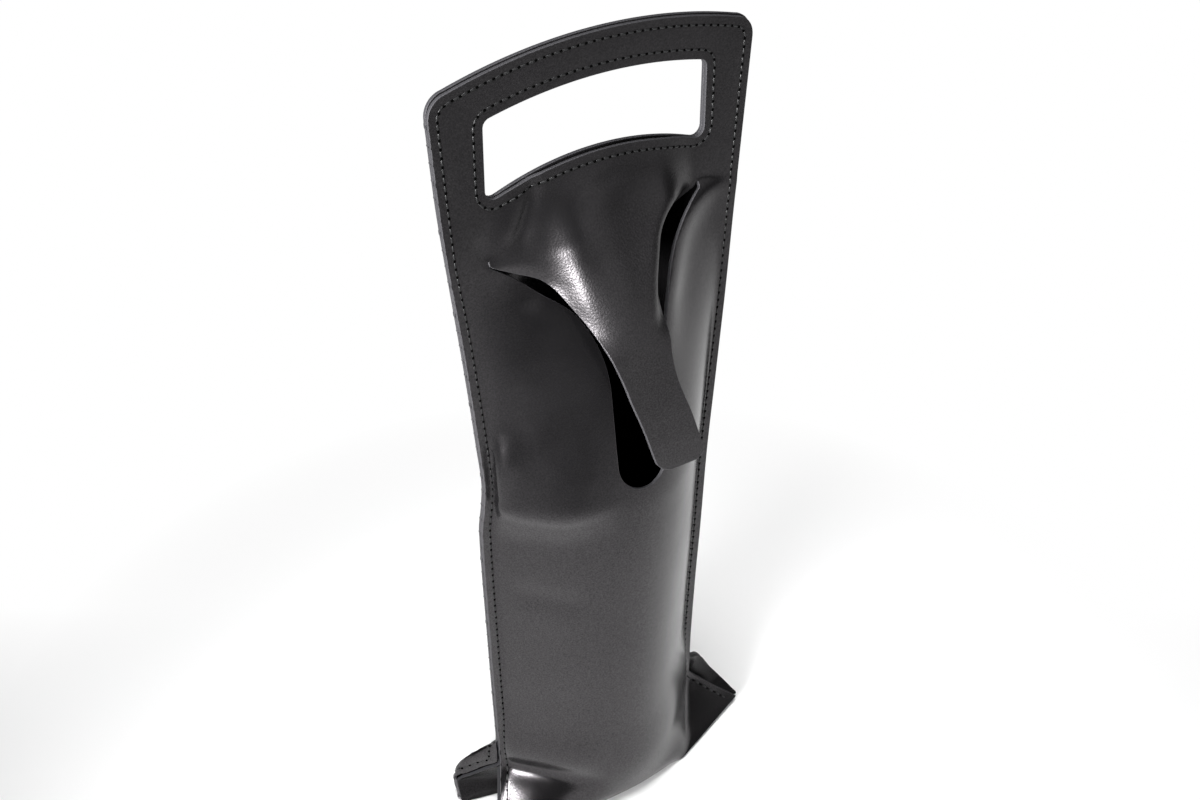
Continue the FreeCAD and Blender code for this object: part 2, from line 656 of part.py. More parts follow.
def build_panels():
    outer = doc.addObject("PartDesign::Body", "panel_outside")
    loft_through(outer, "panel_bulge", outer_section)
    handle_plate(outer)
    space = doc.addObject("PartDesign::Body", "bag_space")
    loft_through(space, "bag_room", inner_section)
    hole = hand_hole()
    rooms = shape_object("ear_rooms", ear_rooms())
    hollows = shape_object("ear_hollows", ear_hollows())
    shell = boolean("Part::Cut", "panel_trimmed", outer, rooms)
    shell = boolean("Part::Cut", "panel_split", shell, hollows)
    tabs = [shape_object("ear_tab_%d" % (side + 1), ear_tab(side)) for side in (-1, 1)]
    shell = fuse("panel_with_ears", [shell] + tabs)
    shell = boolean("Part::Cut", "panel_hollow", shell, space)
    shell = boolean("Part::Cut", "panel_pierced", shell, hole)
    front = boolean("Part::Cut", "front_panel", shell, tongue_mouth())
    back = doc.addObject("Part::Mirroring", "back_panel")
    back.Source = shell
    back.Normal = Vector(0, 1, 0)
    doc.recompute()
    return front, back, space, rooms, hole


def build_gusset(space, rooms):
    """Flat base between the panels, with the ramps that climb to the seams."""
    front_room = fuse("front_room", [space, rooms])
    back_room = doc.addObject("Part::Mirroring", "back_room")
    back_room.Source = front_room
    back_room.Normal = Vector(0, 1, 0)
    room = fuse("whole_room", [front_room, back_room])
    slab = doc.addObject("Part::Box", "base_slab")
    slab.setExpression("Length", "2 * sizes.ear_reach")
    slab.setExpression("Width", "2 * sizes.body_depth")
    slab.setExpression("Height", "sizes.leather_thick")
    slab.setExpression("Placement.Base.x", "-sizes.ear_reach")
    slab.setExpression("Placement.Base.y", "-sizes.body_depth")
    floor = boolean("Part::Common", "base_floor", slab, room)
    hollows = shape_object("foot_hollows", ear_hollows())
    floor = boolean("Part::Cut", "base_notched", floor, hollows)
    ramps = []
    for side in (-1, 1):
        for front in (True, False):
            name = "gusset_ramp_%d" % (len(ramps) + 1)
            ramps.append(shape_object(name, gusset_ramp(side, front)))
    return fuse("base_gusset", [floor] + ramps)


def build_all():
    front, back, space, rooms, hole = build_panels()
    gusset = build_gusset(space, rooms)
    tongue = closure_tongue()
    nodes = [front, back, gusset, tongue]
    thick = size("leather_thick")
    outer_rows = seam_rows(outer_seam_wire, thick)
    hole_rows = seam_rows(lambda y_place: hole_seam_wire(hole, y_place), thick)
    for name, rows in (("outer_seam", outer_rows), ("hand_hole", hole_rows)):
        nodes.append(shape_object(name + "_front_thread", rows[0]))
        nodes.append(shape_object(name + "_back_thread", rows[1]))
    for side_name, side in (("left", -1), ("right", 1)):
        for face_name, is_front in (("front", True), ("back", False)):
            name = "%s_%s_leg_seam" % (side_name, face_name)
            nodes.append(shape_object(name, leg_seam(side, is_front)))
    doc.recompute()
    return nodes


def write_parts(nodes):
    for item in doc.Objects:
        bad = [state for state in item.State if state in ("Invalid", "Error")]
        if bad:
            raise RuntimeError("%s did not build: %s" % (item.Name, item.State))
    for node in nodes:
        node.Label = node.Name
        if node.Shape.isNull() or not node.Shape.isValid():
            raise RuntimeError("%s has no valid shape" % node.Label)
    os.makedirs("parts", exist_ok=True)
    for node in nodes:
        node.Shape.exportStep("parts/%s.step" % node.Label)
        print(node.Label, len(node.Shape.Solids), "solids", round(node.Shape.Volume, 1), "mm3")


write_parts(build_all())
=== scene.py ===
import bmesh
import bpy
import math
import numpy as np
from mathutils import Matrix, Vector
from mathutils.geometry import delaunay_2d_cdt
from mathutils.kdtree import KDTree


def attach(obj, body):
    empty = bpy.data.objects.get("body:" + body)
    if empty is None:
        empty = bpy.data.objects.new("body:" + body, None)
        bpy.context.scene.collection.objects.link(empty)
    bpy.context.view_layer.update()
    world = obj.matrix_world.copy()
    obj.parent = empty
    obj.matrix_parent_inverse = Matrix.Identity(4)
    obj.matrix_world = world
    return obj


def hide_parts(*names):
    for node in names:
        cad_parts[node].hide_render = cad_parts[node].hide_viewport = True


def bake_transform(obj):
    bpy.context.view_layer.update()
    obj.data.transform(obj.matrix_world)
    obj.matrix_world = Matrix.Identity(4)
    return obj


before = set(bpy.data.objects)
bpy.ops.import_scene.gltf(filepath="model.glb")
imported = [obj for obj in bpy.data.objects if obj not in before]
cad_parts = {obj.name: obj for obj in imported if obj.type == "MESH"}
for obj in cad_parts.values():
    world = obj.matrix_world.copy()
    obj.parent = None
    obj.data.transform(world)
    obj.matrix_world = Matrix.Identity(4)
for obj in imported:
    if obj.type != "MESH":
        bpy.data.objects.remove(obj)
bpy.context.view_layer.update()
mm = 0.001  # sizes below are in millimetres, z above the floor, front towards -y

hide = {
    "thick": 1.9,        # leather, with a hair of air between the sewn layers
    "halfCut": 81.0,     # half width of a panel as it lies flat
    "grid": 1.6,         # distance between mesh points
    "edgeRound": 0.45,   # rounding of the raw edges
    "groove": 0.25,      # depth of the line that the stitches press
    "grooveWide": 0.9,
}

# Where the leather is dull from use, on the flat hide
wear = {
    "strapTop": 372,
    "strapFade": 75,
    "strapHalf": 66,
    "strapSideFade": 24,
    "handleFrom": 345,
    "handleFade": 30,
}

bag = {
    "leftSide": [(0, -62), (30, -62.5), (112, -64.8), (188, -66.4), (203, -64.6), (214, -63.8), (237, -65.6),
                 (283, -70), (325, -74.6), (365, -78.8), (402, -81.3), (430, -83.1)],
    "rightSide": [(0, 60.5), (46, 60.8), (104, 62.7), (131, 64.2), (183, 66.5), (231, 70), (276, 73.2),
                  (319, 75.8), (359, 78.4), (402, 81.3), (430, 83.1)],
    "depth": [(0, 39.5), (30, 39.5), (60, 38.6), (120, 38.6), (175, 39), (200, 38.8), (216, 37.6),
              (240, 33.8), (270, 26), (300, 14.5), (320, 6.5), (338, 1), (430, 1)],
    "margin": [(0, 1.5), (31, 1.5), (80, 5.5), (430, 5.5)],   # flat strip outside the swell
    "roundness": 0.85,   # below 1 the section is fuller
    "soft": 2.5,         # easing where the swell starts
}

handle = {
    "cornerHigh": 413.0,
    "archRise": 13.0,
    "cornerRound": 11.0,
    "holeHalf": 56.5,
    "holeLow": 361.5,
    "holeLowRise": 11.5,
    "holeHigh": 399.5,
    "holeHighRise": 7.0,
    "holeRound": 4.0,
    "backOverhang": 0.7,  # the back layer sticks out a little past the front one
}

# Legs and folds are (level on the flat hide, x, y, z); a crease is where an ear leaves the body on the floor
feet = {
    "roll": 8.0,  # radius of the lower fold
    "front": {
        "floor": [(-72, -15), (-67, -24), (-58, -30.5), (-46, -33.5), (-32, -34), (-16, -33.6), (0, -33.3),
                  (14, -33.2), (26, -33), (34, -32), (41, -29), (49, -21), (56, -11), (60.5, -1)],
        "leftLeg": [(31, -62.5, -1, 31), (0, -72, -15, 1)],
        "rightLeg": [(31, 60.5, -1, 31), (20, 71, -4.5, 20), (9, 81.5, -7.5, 9.5), (0, 89.5, -9.5, 2.5)],
        "leftFold": None,
        "leftCrease": None,
        "rightCrease": 40,
        "flare": 1.0,   # how far the left side steps out to the floor as one slope
    },
    "back": {
        "floor": [(-62.5, 1), (-58, 13), (-50, 24), (-36, 34), (-18, 39.5), (0, 41), (18, 39.5), (36, 34),
                  (50, 24), (58, 12), (60.5, 1)],
        "leftLeg": [(46, -62.8, 1, 46), (30, -62.6, 1, 30), (24, -67, 6, 25), (16, -73.5, 12.5, 18),
                    (9, -80, 18, 12), (0, -81, 12, 1.5)],
        "rightLeg": [(46, 60.7, 1, 46), (40, 61.5, 1.5, 41), (34, 66.5, 3.5, 38), (27, 71.5, 5.5, 34),
                     (18, 80, 6, 20), (8, 88, 3, 8), (0, 91.5, -5, 2.5)],
        "leftFold": [(46, -62.8, 1, 46), (9, -80.4, 18.6, 13.5), (0, -81, 14, 2)],
        "leftCrease": -46,
        "rightCrease": 48,
        "flare": 0.0,
    },
}

tongue = {
    "root": 338.0,
    "half": 56.0,
    "strip": 3.0,
    "neckRound": 85.0,
    "strapHalf": 13.5,
    "tip": 217.0,        # where the tip was cut, on the flat hide
    "tipRound": 7.5,
    "kerf": 0.7,
    "slotBottom": 211.0,
    "hang": [(0, -12, 338), (-1, -19, 325), (-2, -27, 310), (-1, -36, 290), (2.6, -41.5, 270), (9, -45, 250),
             (13.5, -46.5, 235), (18, -47, 222), (20, -47.1, 216)],
    # the rest is read by the distance below the root
    "leftShare": [(0, 0), (10, 0.14), (20, 0.28), (30, 0.5), (44, 0.76), (58, 1), (130, 1)],
    "rightShare": [(0, 0), (10, 0.05), (20, 0.1), (35, 0.4), (45, 0.72), (58, 1), (130, 1)],
    "edgeRise": [(0, 0), (10, 1.5), (20, 5.5), (30, 7), (44, 8), (58, 4), (70, 0), (130, 0)],
    "flankAt": [(0, 40), (5, 33), (10, 28), (20, 23), (35, 17), (50, 13), (58, 13), (130, 13)],
    "flankWide": [(0, 14), (10, 10), (20, 9), (130, 9)],
    "swellAbove": [(338, 11), (350, 6.5), (360, 4), (372, 2.5), (385, 1), (396, 0), (430, 0)],
    # the panel beside the mouth
    "rightCurl": [(240, 0), (255, 1), (270, 3), (289, 6.5), (302, 8), (319, 6.5), (328, 5), (338, 0)],
    "curlWide": 16.0,
    "mouthShift": 2.5,
    "shiftAt": ((0, 285), (45, 30)),     # middle and reach on the flat hide
    "mouthSag": 4.5,
    "sagAt": ((-38, 318), (16, 15)),
    "slant": 0.13,
    "slantReach": (30, 14),              # below and above the root
    "leftPull": 3.5,
    "pullAt": ((-56, 336), (16, 16)),
}


# Curve through a few points, smooth and with no overshoot
def smoothLine(points):
    at = np.array([point[0] for point in points], float)
    value = np.array([point[1] for point in points], float)
    step = np.diff(at)
    slope = np.diff(value) / step
    tangent = np.zeros(len(at))
    for i in range(1, len(at) - 1):
        if slope[i - 1] * slope[i] > 0:
            left = 2 * step[i] + step[i - 1]
            right = step[i] + 2 * step[i - 1]
            tangent[i] = (left + right) / (left / slope[i - 1] + right / slope[i])
    tangent[0] = slope[0]
    tangent[-1] = slope[-1]

    def read(where):
        where = np.clip(np.asarray(where, float), at[0], at[-1])
        i = np.clip(np.searchsorted(at, where) - 1, 0, len(step) - 1)
        t = (where - at[i]) / step[i]
        start = value[i] * (1 + 2 * t) * (1 - t) ** 2 + step[i] * tangent[i] * t * (1 - t) ** 2
        end = value[i + 1] * t ** 2 * (3 - 2 * t) + step[i] * tangent[i + 1] * t ** 2 * (t - 1)
        return start + end

    return read


def runLength(points):
    return np.concatenate([[0], np.cumsum(np.linalg.norm(np.diff(points, axis=0), axis=1))])


# The points of a line at these places along its run
def readLine(at, run, line):
    return np.stack([np.interp(at, run, line[:, k]) for k in range(line.shape[1])], 1)


def easeStep(share):
    share = np.clip(share, 0, 1)
    return share ** 3 * (share * (6 * share - 15) + 10)


def dimple(u, v, middle, reach):
    return np.exp(-((u - middle[0]) / reach[0]) ** 2 - ((v - middle[1]) / reach[1]) ** 2)


def unit(vectors, least=1e-9):
    return vectors / np.maximum(np.linalg.norm(vectors, axis=1), least)[:, None]


# Point of a grid of points, between its rows and columns
def readGrid(grid, row, column):
    i, j = row.astype(int), column.astype(int)
    a, b = (row - i)[:, None], (column - j)[:, None]
    low = grid[i, j] * (1 - b) + grid[i, j + 1] * b
    high = grid[i + 1, j] * (1 - b) + grid[i + 1, j + 1] * b
    return low * (1 - a) + high * a


def pointTree(points):
    tree = KDTree(len(points))
    for i, point in enumerate(points):
        tree.insert((point[0], point[1], 0), i)
    tree.balance()
    return tree


# Adds an object that holds this mesh, lamp or camera
def placed(name, data):
    piece = bpy.data.objects.new(name, data)
    bpy.context.scene.collection.objects.link(piece)
    return piece


leftSide = smoothLine(bag["leftSide"])
rightSide = smoothLine(bag["rightSide"])
bagDepth = smoothLine(bag["depth"])
flatMargin = smoothLine(bag["margin"])
columns = np.linspace(-1, 1, 321)


def spaced(line):
    run = runLength(line)
    return readLine(columns, 2 * run / run[-1] - 1, line)


# One level section of the bag, as points evenly spaced along the leather
def sectionRow(level, face):
    left, right = leftSide(level), rightSide(level)
    half = (right - left) / 2
    across = np.linspace(-1, 1, 481)
    x = (left + right) / 2 + half * across
    share = np.clip(np.abs(across) * half / (half - flatMargin(level)), 0, 1)
    swell = (bagDepth(level) - 1) * np.cos(share * math.pi / 2) ** bag["roundness"]
    swell = np.sqrt(swell ** 2 + bag["soft"] ** 2) - bag["soft"]
    swell *= (bagDepth(level) - 1) / max(swell.max(), 1e-6)
    return spaced(np.stack([x, face * (1 + swell), np.full_like(x, level)], 1))


def floorRow(points):
    points = np.array(points, float)
    run = runLength(points)
    fine = np.linspace(0, run[-1], 400)
    return spaced(np.stack([smoothLine(list(zip(run, points[:, k])))(fine) for k in range(2)], 1))


def softened(row, times):
    for i in range(times):
        row = np.vstack([row[:1], (row[:-2] + 2 * row[1:-1] + row[2:]) / 4, row[-1:]])
    return row


splitLevel = {-1: feet["front"]["leftLeg"][0][0], 1: feet["back"]["leftLeg"][0][0]}
topLevel = 430


# One row below the split: the body wall down to its rolled fold, and an ear out to each leg
def footRow(level, face, foot, wall, floor, legs):
    down = 1 - level / splitLevel[face]
    flare = foot["flare"] * easeStep((0.1 - columns) / 0.8)
    weight = (down ** 1.9 * (1 - flare) + down ** 1.25 * flare)[:, None]
    row = np.column_stack([wall[:, :2] * (1 - weight) + floor * weight, np.full(len(wall), float(level))])
    if level < feet["roll"]:
        turn = (feet["roll"] - level) / feet["roll"] * math.pi / 2
        radius = feet["roll"] - 1
        along = unit(np.gradient(row[:, :2], axis=0))
        inward = np.stack([along[:, 1], -along[:, 0]], 1) * face
        rolled = (1 - columns ** 10) * (1 - easeStep((columns - 0.3) / 0.3))
        row[:, :2] += inward * (radius * (1 - math.cos(turn)) * rolled)[:, None]
        row[:, 2] = 1 + radius * (1 - math.sin(turn))
    ends = [np.array([float(axis(level)) for axis in leg]) for leg in legs]
    for side, end, crease in ((-1, ends[0], foot["leftCrease"]), (1, ends[1], foot["rightCrease"])):
        if crease is None:
            continue
        leave = wall[0 if side < 0 else -1, 0] * (1 - down) + crease * down
        kept = row[side * row[:, 0] < side * leave]
        if side < 0:
            outward, inward = np.linspace(end, ends[2], 20), np.linspace(ends[2], kept[0], 40)
            row = spaced(np.vstack([outward[:-1], inward[:-1], kept]))
        else:
            row = spaced(np.vstack([kept, np.linspace(kept[-1], end, 40)[1:]]))
    return softened(row, 6)


# A panel as rows from the floor to the top
def panelRows(face):
    foot = feet["front" if face < 0 else "back"]
    split = splitLevel[face]
    wall = sectionRow(split, face)
    floor = floorRow(foot["floor"])
    legs = [[smoothLine([(point[0], point[k]) for point in leg[::-1]]) for k in (1, 2, 3)]
            for leg in (foot["leftLeg"], foot["rightLeg"], foot["leftFold"] or foot["leftLeg"])]
    below = [footRow(level, face, foot, wall, floor, legs) for level in range(split)]
    return np.array(below + [sectionRow(level, face) for level in range(split, topLevel + 1)])


panelGrid = {-1: panelRows(-1), 1: panelRows(1)}


def panelPoint(face, flat):
    rows = panelGrid[face]
    level = np.clip(flat[:, 1], 0, len(rows) - 1.001)
    column = (np.clip(flat[:, 0] / hide["halfCut"], -1, 1) + 1) / 2 * (len(columns) - 1.001)
    return readGrid(rows, level, column)


# Half width of the tongue on the flat hide, by the distance below its root
def tongueHalf(down):
    radius, strap = tongue["neckRound"], tongue["strapHalf"]
    turn = math.acos((strap + radius - tongue["half"]) / radius)
    neck = tongue["strip"] + radius * math.sin(turn)
    along = np.clip(neck - down, 0, neck - tongue["strip"])
    return strap + radius - np.sqrt(radius ** 2 - along ** 2)


hangLine = np.array(tongue["hang"], float)
hangRun = runLength(hangLine[:, 1:])
hangX, hangY, hangZ = [smoothLine(list(zip(hangRun, hangLine[:, k]))) for k in range(3)]
leftShare, rightShare = smoothLine(tongue["leftShare"]), smoothLine(tongue["rightShare"])
edgeRise = smoothLine(tongue["edgeRise"])
flankAt, flankWide = smoothLine(tongue["flankAt"]), smoothLine(tongue["flankWide"])
swellAbove, rightCurl = smoothLine(tongue["swellAbove"]), smoothLine(tongue["rightCurl"])
tongueSteps = np.arange(0, 131)
gridHalf = 60   # the tongue's grid reaches a little past its root
tongueColumns = np.linspace(-gridHalf, gridHalf, 241)


# How far each place across the tongue follows its middle line: 1 in the middle, less towards the edges
def hangShare(x, down):
    middle = hangX(down)
    half = tongueHalf(down) * 0.97
    left = leftShare(down)
    leftPart = left + (1 - left) * np.clip(1 - ((middle - x) / half) ** 2, 0, 1) ** 1.3
    wide = flankWide(down)
    right = rightShare(down)
    rightPart = right + (1 - right) * (1 - easeStep((x - flankAt(down) + wide) / (2 * wide)))
    return np.where(x < middle, leftPart, rightPart)


def tongueRow(down):
    x = np.linspace(-90, 90, 721)
    share = hangShare(x, down)
    y = -1 + (hangY(down) + 1) * share
    z = (tongue["root"] - down + edgeRise(down)) * (1 - share) + hangZ(down) * share
    run = runLength(np.stack([x, y], 1))
    run -= np.interp(hangX(down), x, run)
    narrow = (rightSide(tongue["root"]) - leftSide(tongue["root"])) / 2 / hide["halfCut"]
    scale = narrow + (1 - narrow) * min(down / 30, 1)
    edge = tongue["half"] * narrow
    fade = max(0, 1 - down / 12)
    stretchLeft = 1 + (-np.interp(-edge, x, run) / edge - 1) * fade
    stretchRight = 1 + (np.interp(edge, x, run) / edge - 1) * fade
    want = tongueColumns * scale * np.where(tongueColumns < 0, stretchLeft, stretchRight)
    return np.stack([np.interp(want, run, values) for values in (x, y, z)], 1)


tongueGrid = np.array([tongueRow(down) for down in tongueSteps])


def tonguePoint(flat):
    down = np.clip(tongue["root"] - flat[:, 1], 0, len(tongueSteps) - 1.001)
    across = (np.clip(flat[:, 0], -gridHalf, gridHalf) + gridHalf) / (2 * gridHalf)
    return readGrid(tongueGrid, down, across * (len(tongueColumns) - 1.001))


def frontPoint(flat, inTongue):
    place = panelPoint(-1, flat)
    u, v = flat[:, 0], flat[:, 1]
    # the leather between the hand hole and the root swells with the tongue
    level = np.maximum(v, tongue["root"])
    part = (v >= tongue["root"]) * (np.abs(u) < gridHalf) * swellAbove(level) / swellAbove(tongue["root"])
    onRoot = np.stack([u, np.full_like(u, tongue["root"])], 1)
    drawn = tonguePoint(onRoot) - panelPoint(-1, onRoot)
    place[:, 0] += drawn[:, 0] * part ** 2
    place[:, 1] += drawn[:, 1] * part
    # beside the mouth the leather is pushed to the right, and turned out at the right edge
    down = np.clip(tongue["root"] - v, 0, tongueSteps[-1])
    away = np.clip(u - tongueHalf(down), 0, None)
    low = v < tongue["root"]
    place[:, 1] -= low * (u > 0) * rightCurl(v) * np.exp(-(away / tongue["curlWide"]) ** 2)
    place[:, 0] += low * tongue["mouthShift"] * dimple(u, v, *tongue["shiftAt"])
    place[:, 2] -= low * tongue["mouthSag"] * dimple(u, v, *tongue["sagAt"])
    place = np.where(inTongue[:, None], tonguePoint(flat), place)
    # the cut lies a little aslant, and its left end is drawn out
    near = np.exp(-((v - tongue["root"]) / np.where(low, *tongue["slantReach"])) ** 2)
    place[:, 2] += tongue["slant"] * u * np.clip(1 - (u / hide["halfCut"]) ** 2, 0, 1) * near
    place[:, 0] -= tongue["leftPull"] * dimple(u, v, *tongue["pullAt"])
    return place


# Outlines on the flat hide
def arcThrough(half, ends, rise, count):
    radius = (half ** 2 + rise ** 2) / (2 * rise)
    turn = math.asin(half / radius)
    angle = np.linspace(turn, -turn, count)
    return np.stack([-radius * np.sin(angle), ends + rise - radius + radius * np.cos(angle)], 1)


def roundCorner(before, corner, after, radius, count=9):
    back = (before - corner) / np.linalg.norm(before - corner)
    ahead = (after - corner) / np.linalg.norm(after - corner)
    half = math.acos(np.clip(back @ ahead, -1, 1)) / 2
    start = corner + back * radius / math.tan(half)
    end = corner + ahead * radius / math.tan(half)
    middle = (back + ahead) / np.linalg.norm(back + ahead)
    centre = corner + middle * radius / math.sin(half)
    share = np.linspace(0, 1, count)[:, None]
    ray = (start - centre) * (1 - share) + (end - centre) * share
    return centre + unit(ray) * radius


# Joins runs of points into a loop and rounds the corner where each run meets the next
def closedOutline(runs, radii):
    loop, arcs = [], []
    count = len(runs)
    for i in range(count):
        run, following = runs[i], runs[(i + 1) % count]
        arcs.append(roundCorner(run[-2], run[-1], following[1], radii[i]) if radii[i] else run[-1:])

    def past(run, corner, arcEnd):
        return np.linalg.norm(run - corner, axis=1) > np.linalg.norm(arcEnd - corner) + 0.01

    for i, run in enumerate(runs):
        kept = past(run, run[0], arcs[i - 1][-1]) & past(run, run[-1], arcs[i][0])
        loop += [*run[kept], *arcs[i]]
    return np.array(loop)


def evenly(points, spacing, closed=True):
    points = np.vstack([points, points[:1]]) if closed else np.asarray(points, float)
    run = runLength(points)
    count = max(3, int(round(run[-1] / spacing)))
    at = np.linspace(0, run[-1], count + 1)[:count if closed else count + 1]
    return readLine(at, run, points)


def flatten(points):
    left, right = leftSide(points[:, 1]), rightSide(points[:, 1])
    u = (points[:, 0] - (left + right) / 2) / ((right - left) / 2) * hide["halfCut"]
    return np.stack([u, points[:, 1]], 1)


def straight(start, end, count=40):
    return np.linspace(start, end, count)


def panelOutline(overhang):
    half = hide["halfCut"]
    arch = flatten(arcThrough(rightSide(handle["cornerHigh"]), handle["cornerHigh"], handle["archRise"], 90))
    arch[:, 1] += overhang
    left, right = arch[0], arch[-1]
    runs = [straight((-half, 0), (half, 0)), straight((half, 0), right, 200), arch[::-1],
            straight(left, (-half, 0), 200)]
    return closedOutline(runs, [0, handle["cornerRound"], handle["cornerRound"], 0])


def holeOutline():
    low = flatten(arcThrough(handle["holeHalf"], handle["holeLow"], handle["holeLowRise"], 60))
    high = flatten(arcThrough(handle["holeHalf"], handle["holeHigh"], handle["holeHighRise"], 60))
    runs = [low, straight(low[-1], high[-1]), high[::-1], straight(high[0], low[0])]
    return closedOutline(runs, [handle["holeRound"]] * 4)


# Right edge of the tongue or of its mouth, from the root down to the strap
def neckEdge(half, strap, radius, low):
    turn = math.acos((strap + radius - half) / radius)
    stripEnd = tongue["root"] - tongue["strip"]
    neck = stripEnd - radius * math.sin(turn)
    angle = np.linspace(turn, 0, 60)
    arc = np.stack([strap + radius - radius * np.cos(angle), neck + radius * np.sin(angle)], 1)
    return np.vstack([[(half, tongue["root"])], arc, straight((strap, neck), (strap, low), 30)[1:]])


def mirrored(points):
    return points[::-1] * np.array([-1, 1])


def tongueOutline():
    right = neckEdge(tongue["half"], tongue["strapHalf"], tongue["neckRound"], tongue["tip"])
    left = mirrored(right)
    runs = [right, straight(right[-1], left[0]), left, straight(left[-1], right[0])]
    rounded = closedOutline(runs, [tongue["tipRound"], tongue["tipRound"], 0, 0])
    return rounded[rounded[:, 1] < tongue["root"] - 0.01]


# The cut round the tongue: down its right edge, round the tip, up its left edge and back round the mouth
def cutOutline():
    kerf = tongue["kerf"]
    slot = tongue["strapHalf"] + kerf
    low = tongue["slotBottom"] + slot
    right = neckEdge(tongue["half"] + kerf, slot, tongue["neckRound"] - kerf, low)
    angle = np.linspace(0, math.pi, 24)
    bottom = np.stack([slot * np.cos(angle), low - slot * np.sin(angle)], 1)
    mouth = np.vstack([right[1:], bottom[1:-1], mirrored(right[1:])])
    inner = tongueOutline()
    start = np.array([[tongue["half"] + kerf / 2, tongue["root"]]])
    return np.vstack([start, mouth, mirrored(start), inner[::-1]])


def insideLoop(points, loop):
    x, y = points[:, 0][:, None], points[:, 1][:, None]
    x0, y0 = loop[:, 0], loop[:, 1]
    x1, y1 = np.roll(x0, -1), np.roll(y0, -1)
    found = np.zeros(len(points), int)
    for start in range(0, len(points), 4000):
        part = slice(start, start + 4000)
        crosses = (y0 > y[part]) != (y1 > y[part])
        where = x0 + (y[part] - y0) / np.where(y1 == y0, 1e-9, y1 - y0) * (x1 - x0)
        found[part] = (crosses & (x[part] < where)).sum(1)
    return found % 2 == 1


def offsetLine(points, distance):
    along = unit(np.roll(points, -1, 0) - np.roll(points, 1, 0))
    return points + np.stack([-along[:, 1], along[:, 0]], 1) * distance


# Triangles between the outlines, on a staggered grid, with extra rows of points along the seams
def cutSheet(loops, lines, rows):
    spacing = hide["grid"]
    edges, points = [], []
    for line, gap in [(loop, 0) for loop in loops] + [(line, 1) for line in lines]:
        first, count = len(points), len(line)
        points += list(line)
        edges += [(first + i, first + (i + 1) % count) for i in range(count - gap)]

    def within(some):
        keep = insideLoop(some, loops[0])
        for loop in loops[1:]:
            keep &= ~insideLoop(some, loop)
        return keep

    for row in rows:
        points += list(row[within(row)])
    tree = pointTree(points)
    low, high = loops[0].min(0), loops[0].max(0)
    grid = []
    for k, v in enumerate(np.arange(low[1] + spacing / 2, high[1], spacing * 0.866)):
        u = np.arange(low[0] + (k % 2) * spacing / 2, high[0], spacing)
        grid.append(np.stack([u, np.full_like(u, v)], 1))
    grid = np.vstack(grid)
    grid = grid[within(grid)]
    points += [point for point in grid if tree.find((point[0], point[1], 0))[2] > spacing * 0.62]
    made = delaunay_2d_cdt([Vector(point) for point in points], edges, [], 0, 1e-4, False)
    flat = np.array([tuple(point) for point in made[0]])
    triangles = np.array([face for face in made[2] if len(face) == 3])
    triangles = triangles[within(flat[triangles].mean(1))]
    corner = flat[triangles]
    first, second = corner[:, 1] - corner[:, 0], corner[:, 2] - corner[:, 0]
    turned = first[:, 0] * second[:, 1] - first[:, 1] * second[:, 0] < 0
    triangles[turned] = triangles[turned][:, ::-1]
    return flat, triangles


def vertexNormals(place, triangles):
    corner = place[triangles]
    normal = np.cross(corner[:, 1] - corner[:, 0], corner[:, 2] - corner[:, 0])
    total = np.zeros_like(place)
    for k in range(3):
        np.add.at(total, triangles[:, k], normal)
    for i in range(2):
        total = unit(total, 1e-12)
        spread = total.copy()
        for a, b in ((0, 1), (1, 2), (2, 0)):
            np.add.at(spread, triangles[:, a], total[triangles[:, b]] * 0.25)
            np.add.at(spread, triangles[:, b], total[triangles[:, a]] * 0.25)
        total = spread
    return unit(total, 1e-12)


# All edges of a sheet in the direction of its faces, and those with one face only
def sheetEdges(triangles):
    edges = np.vstack([triangles[:, [0, 1]], triangles[:, [1, 2]], triangles[:, [2, 0]]]).tolist()
    known = {(a, b) for a, b in edges}
    return known, [(a, b) for a, b in edges if (b, a) not in known]


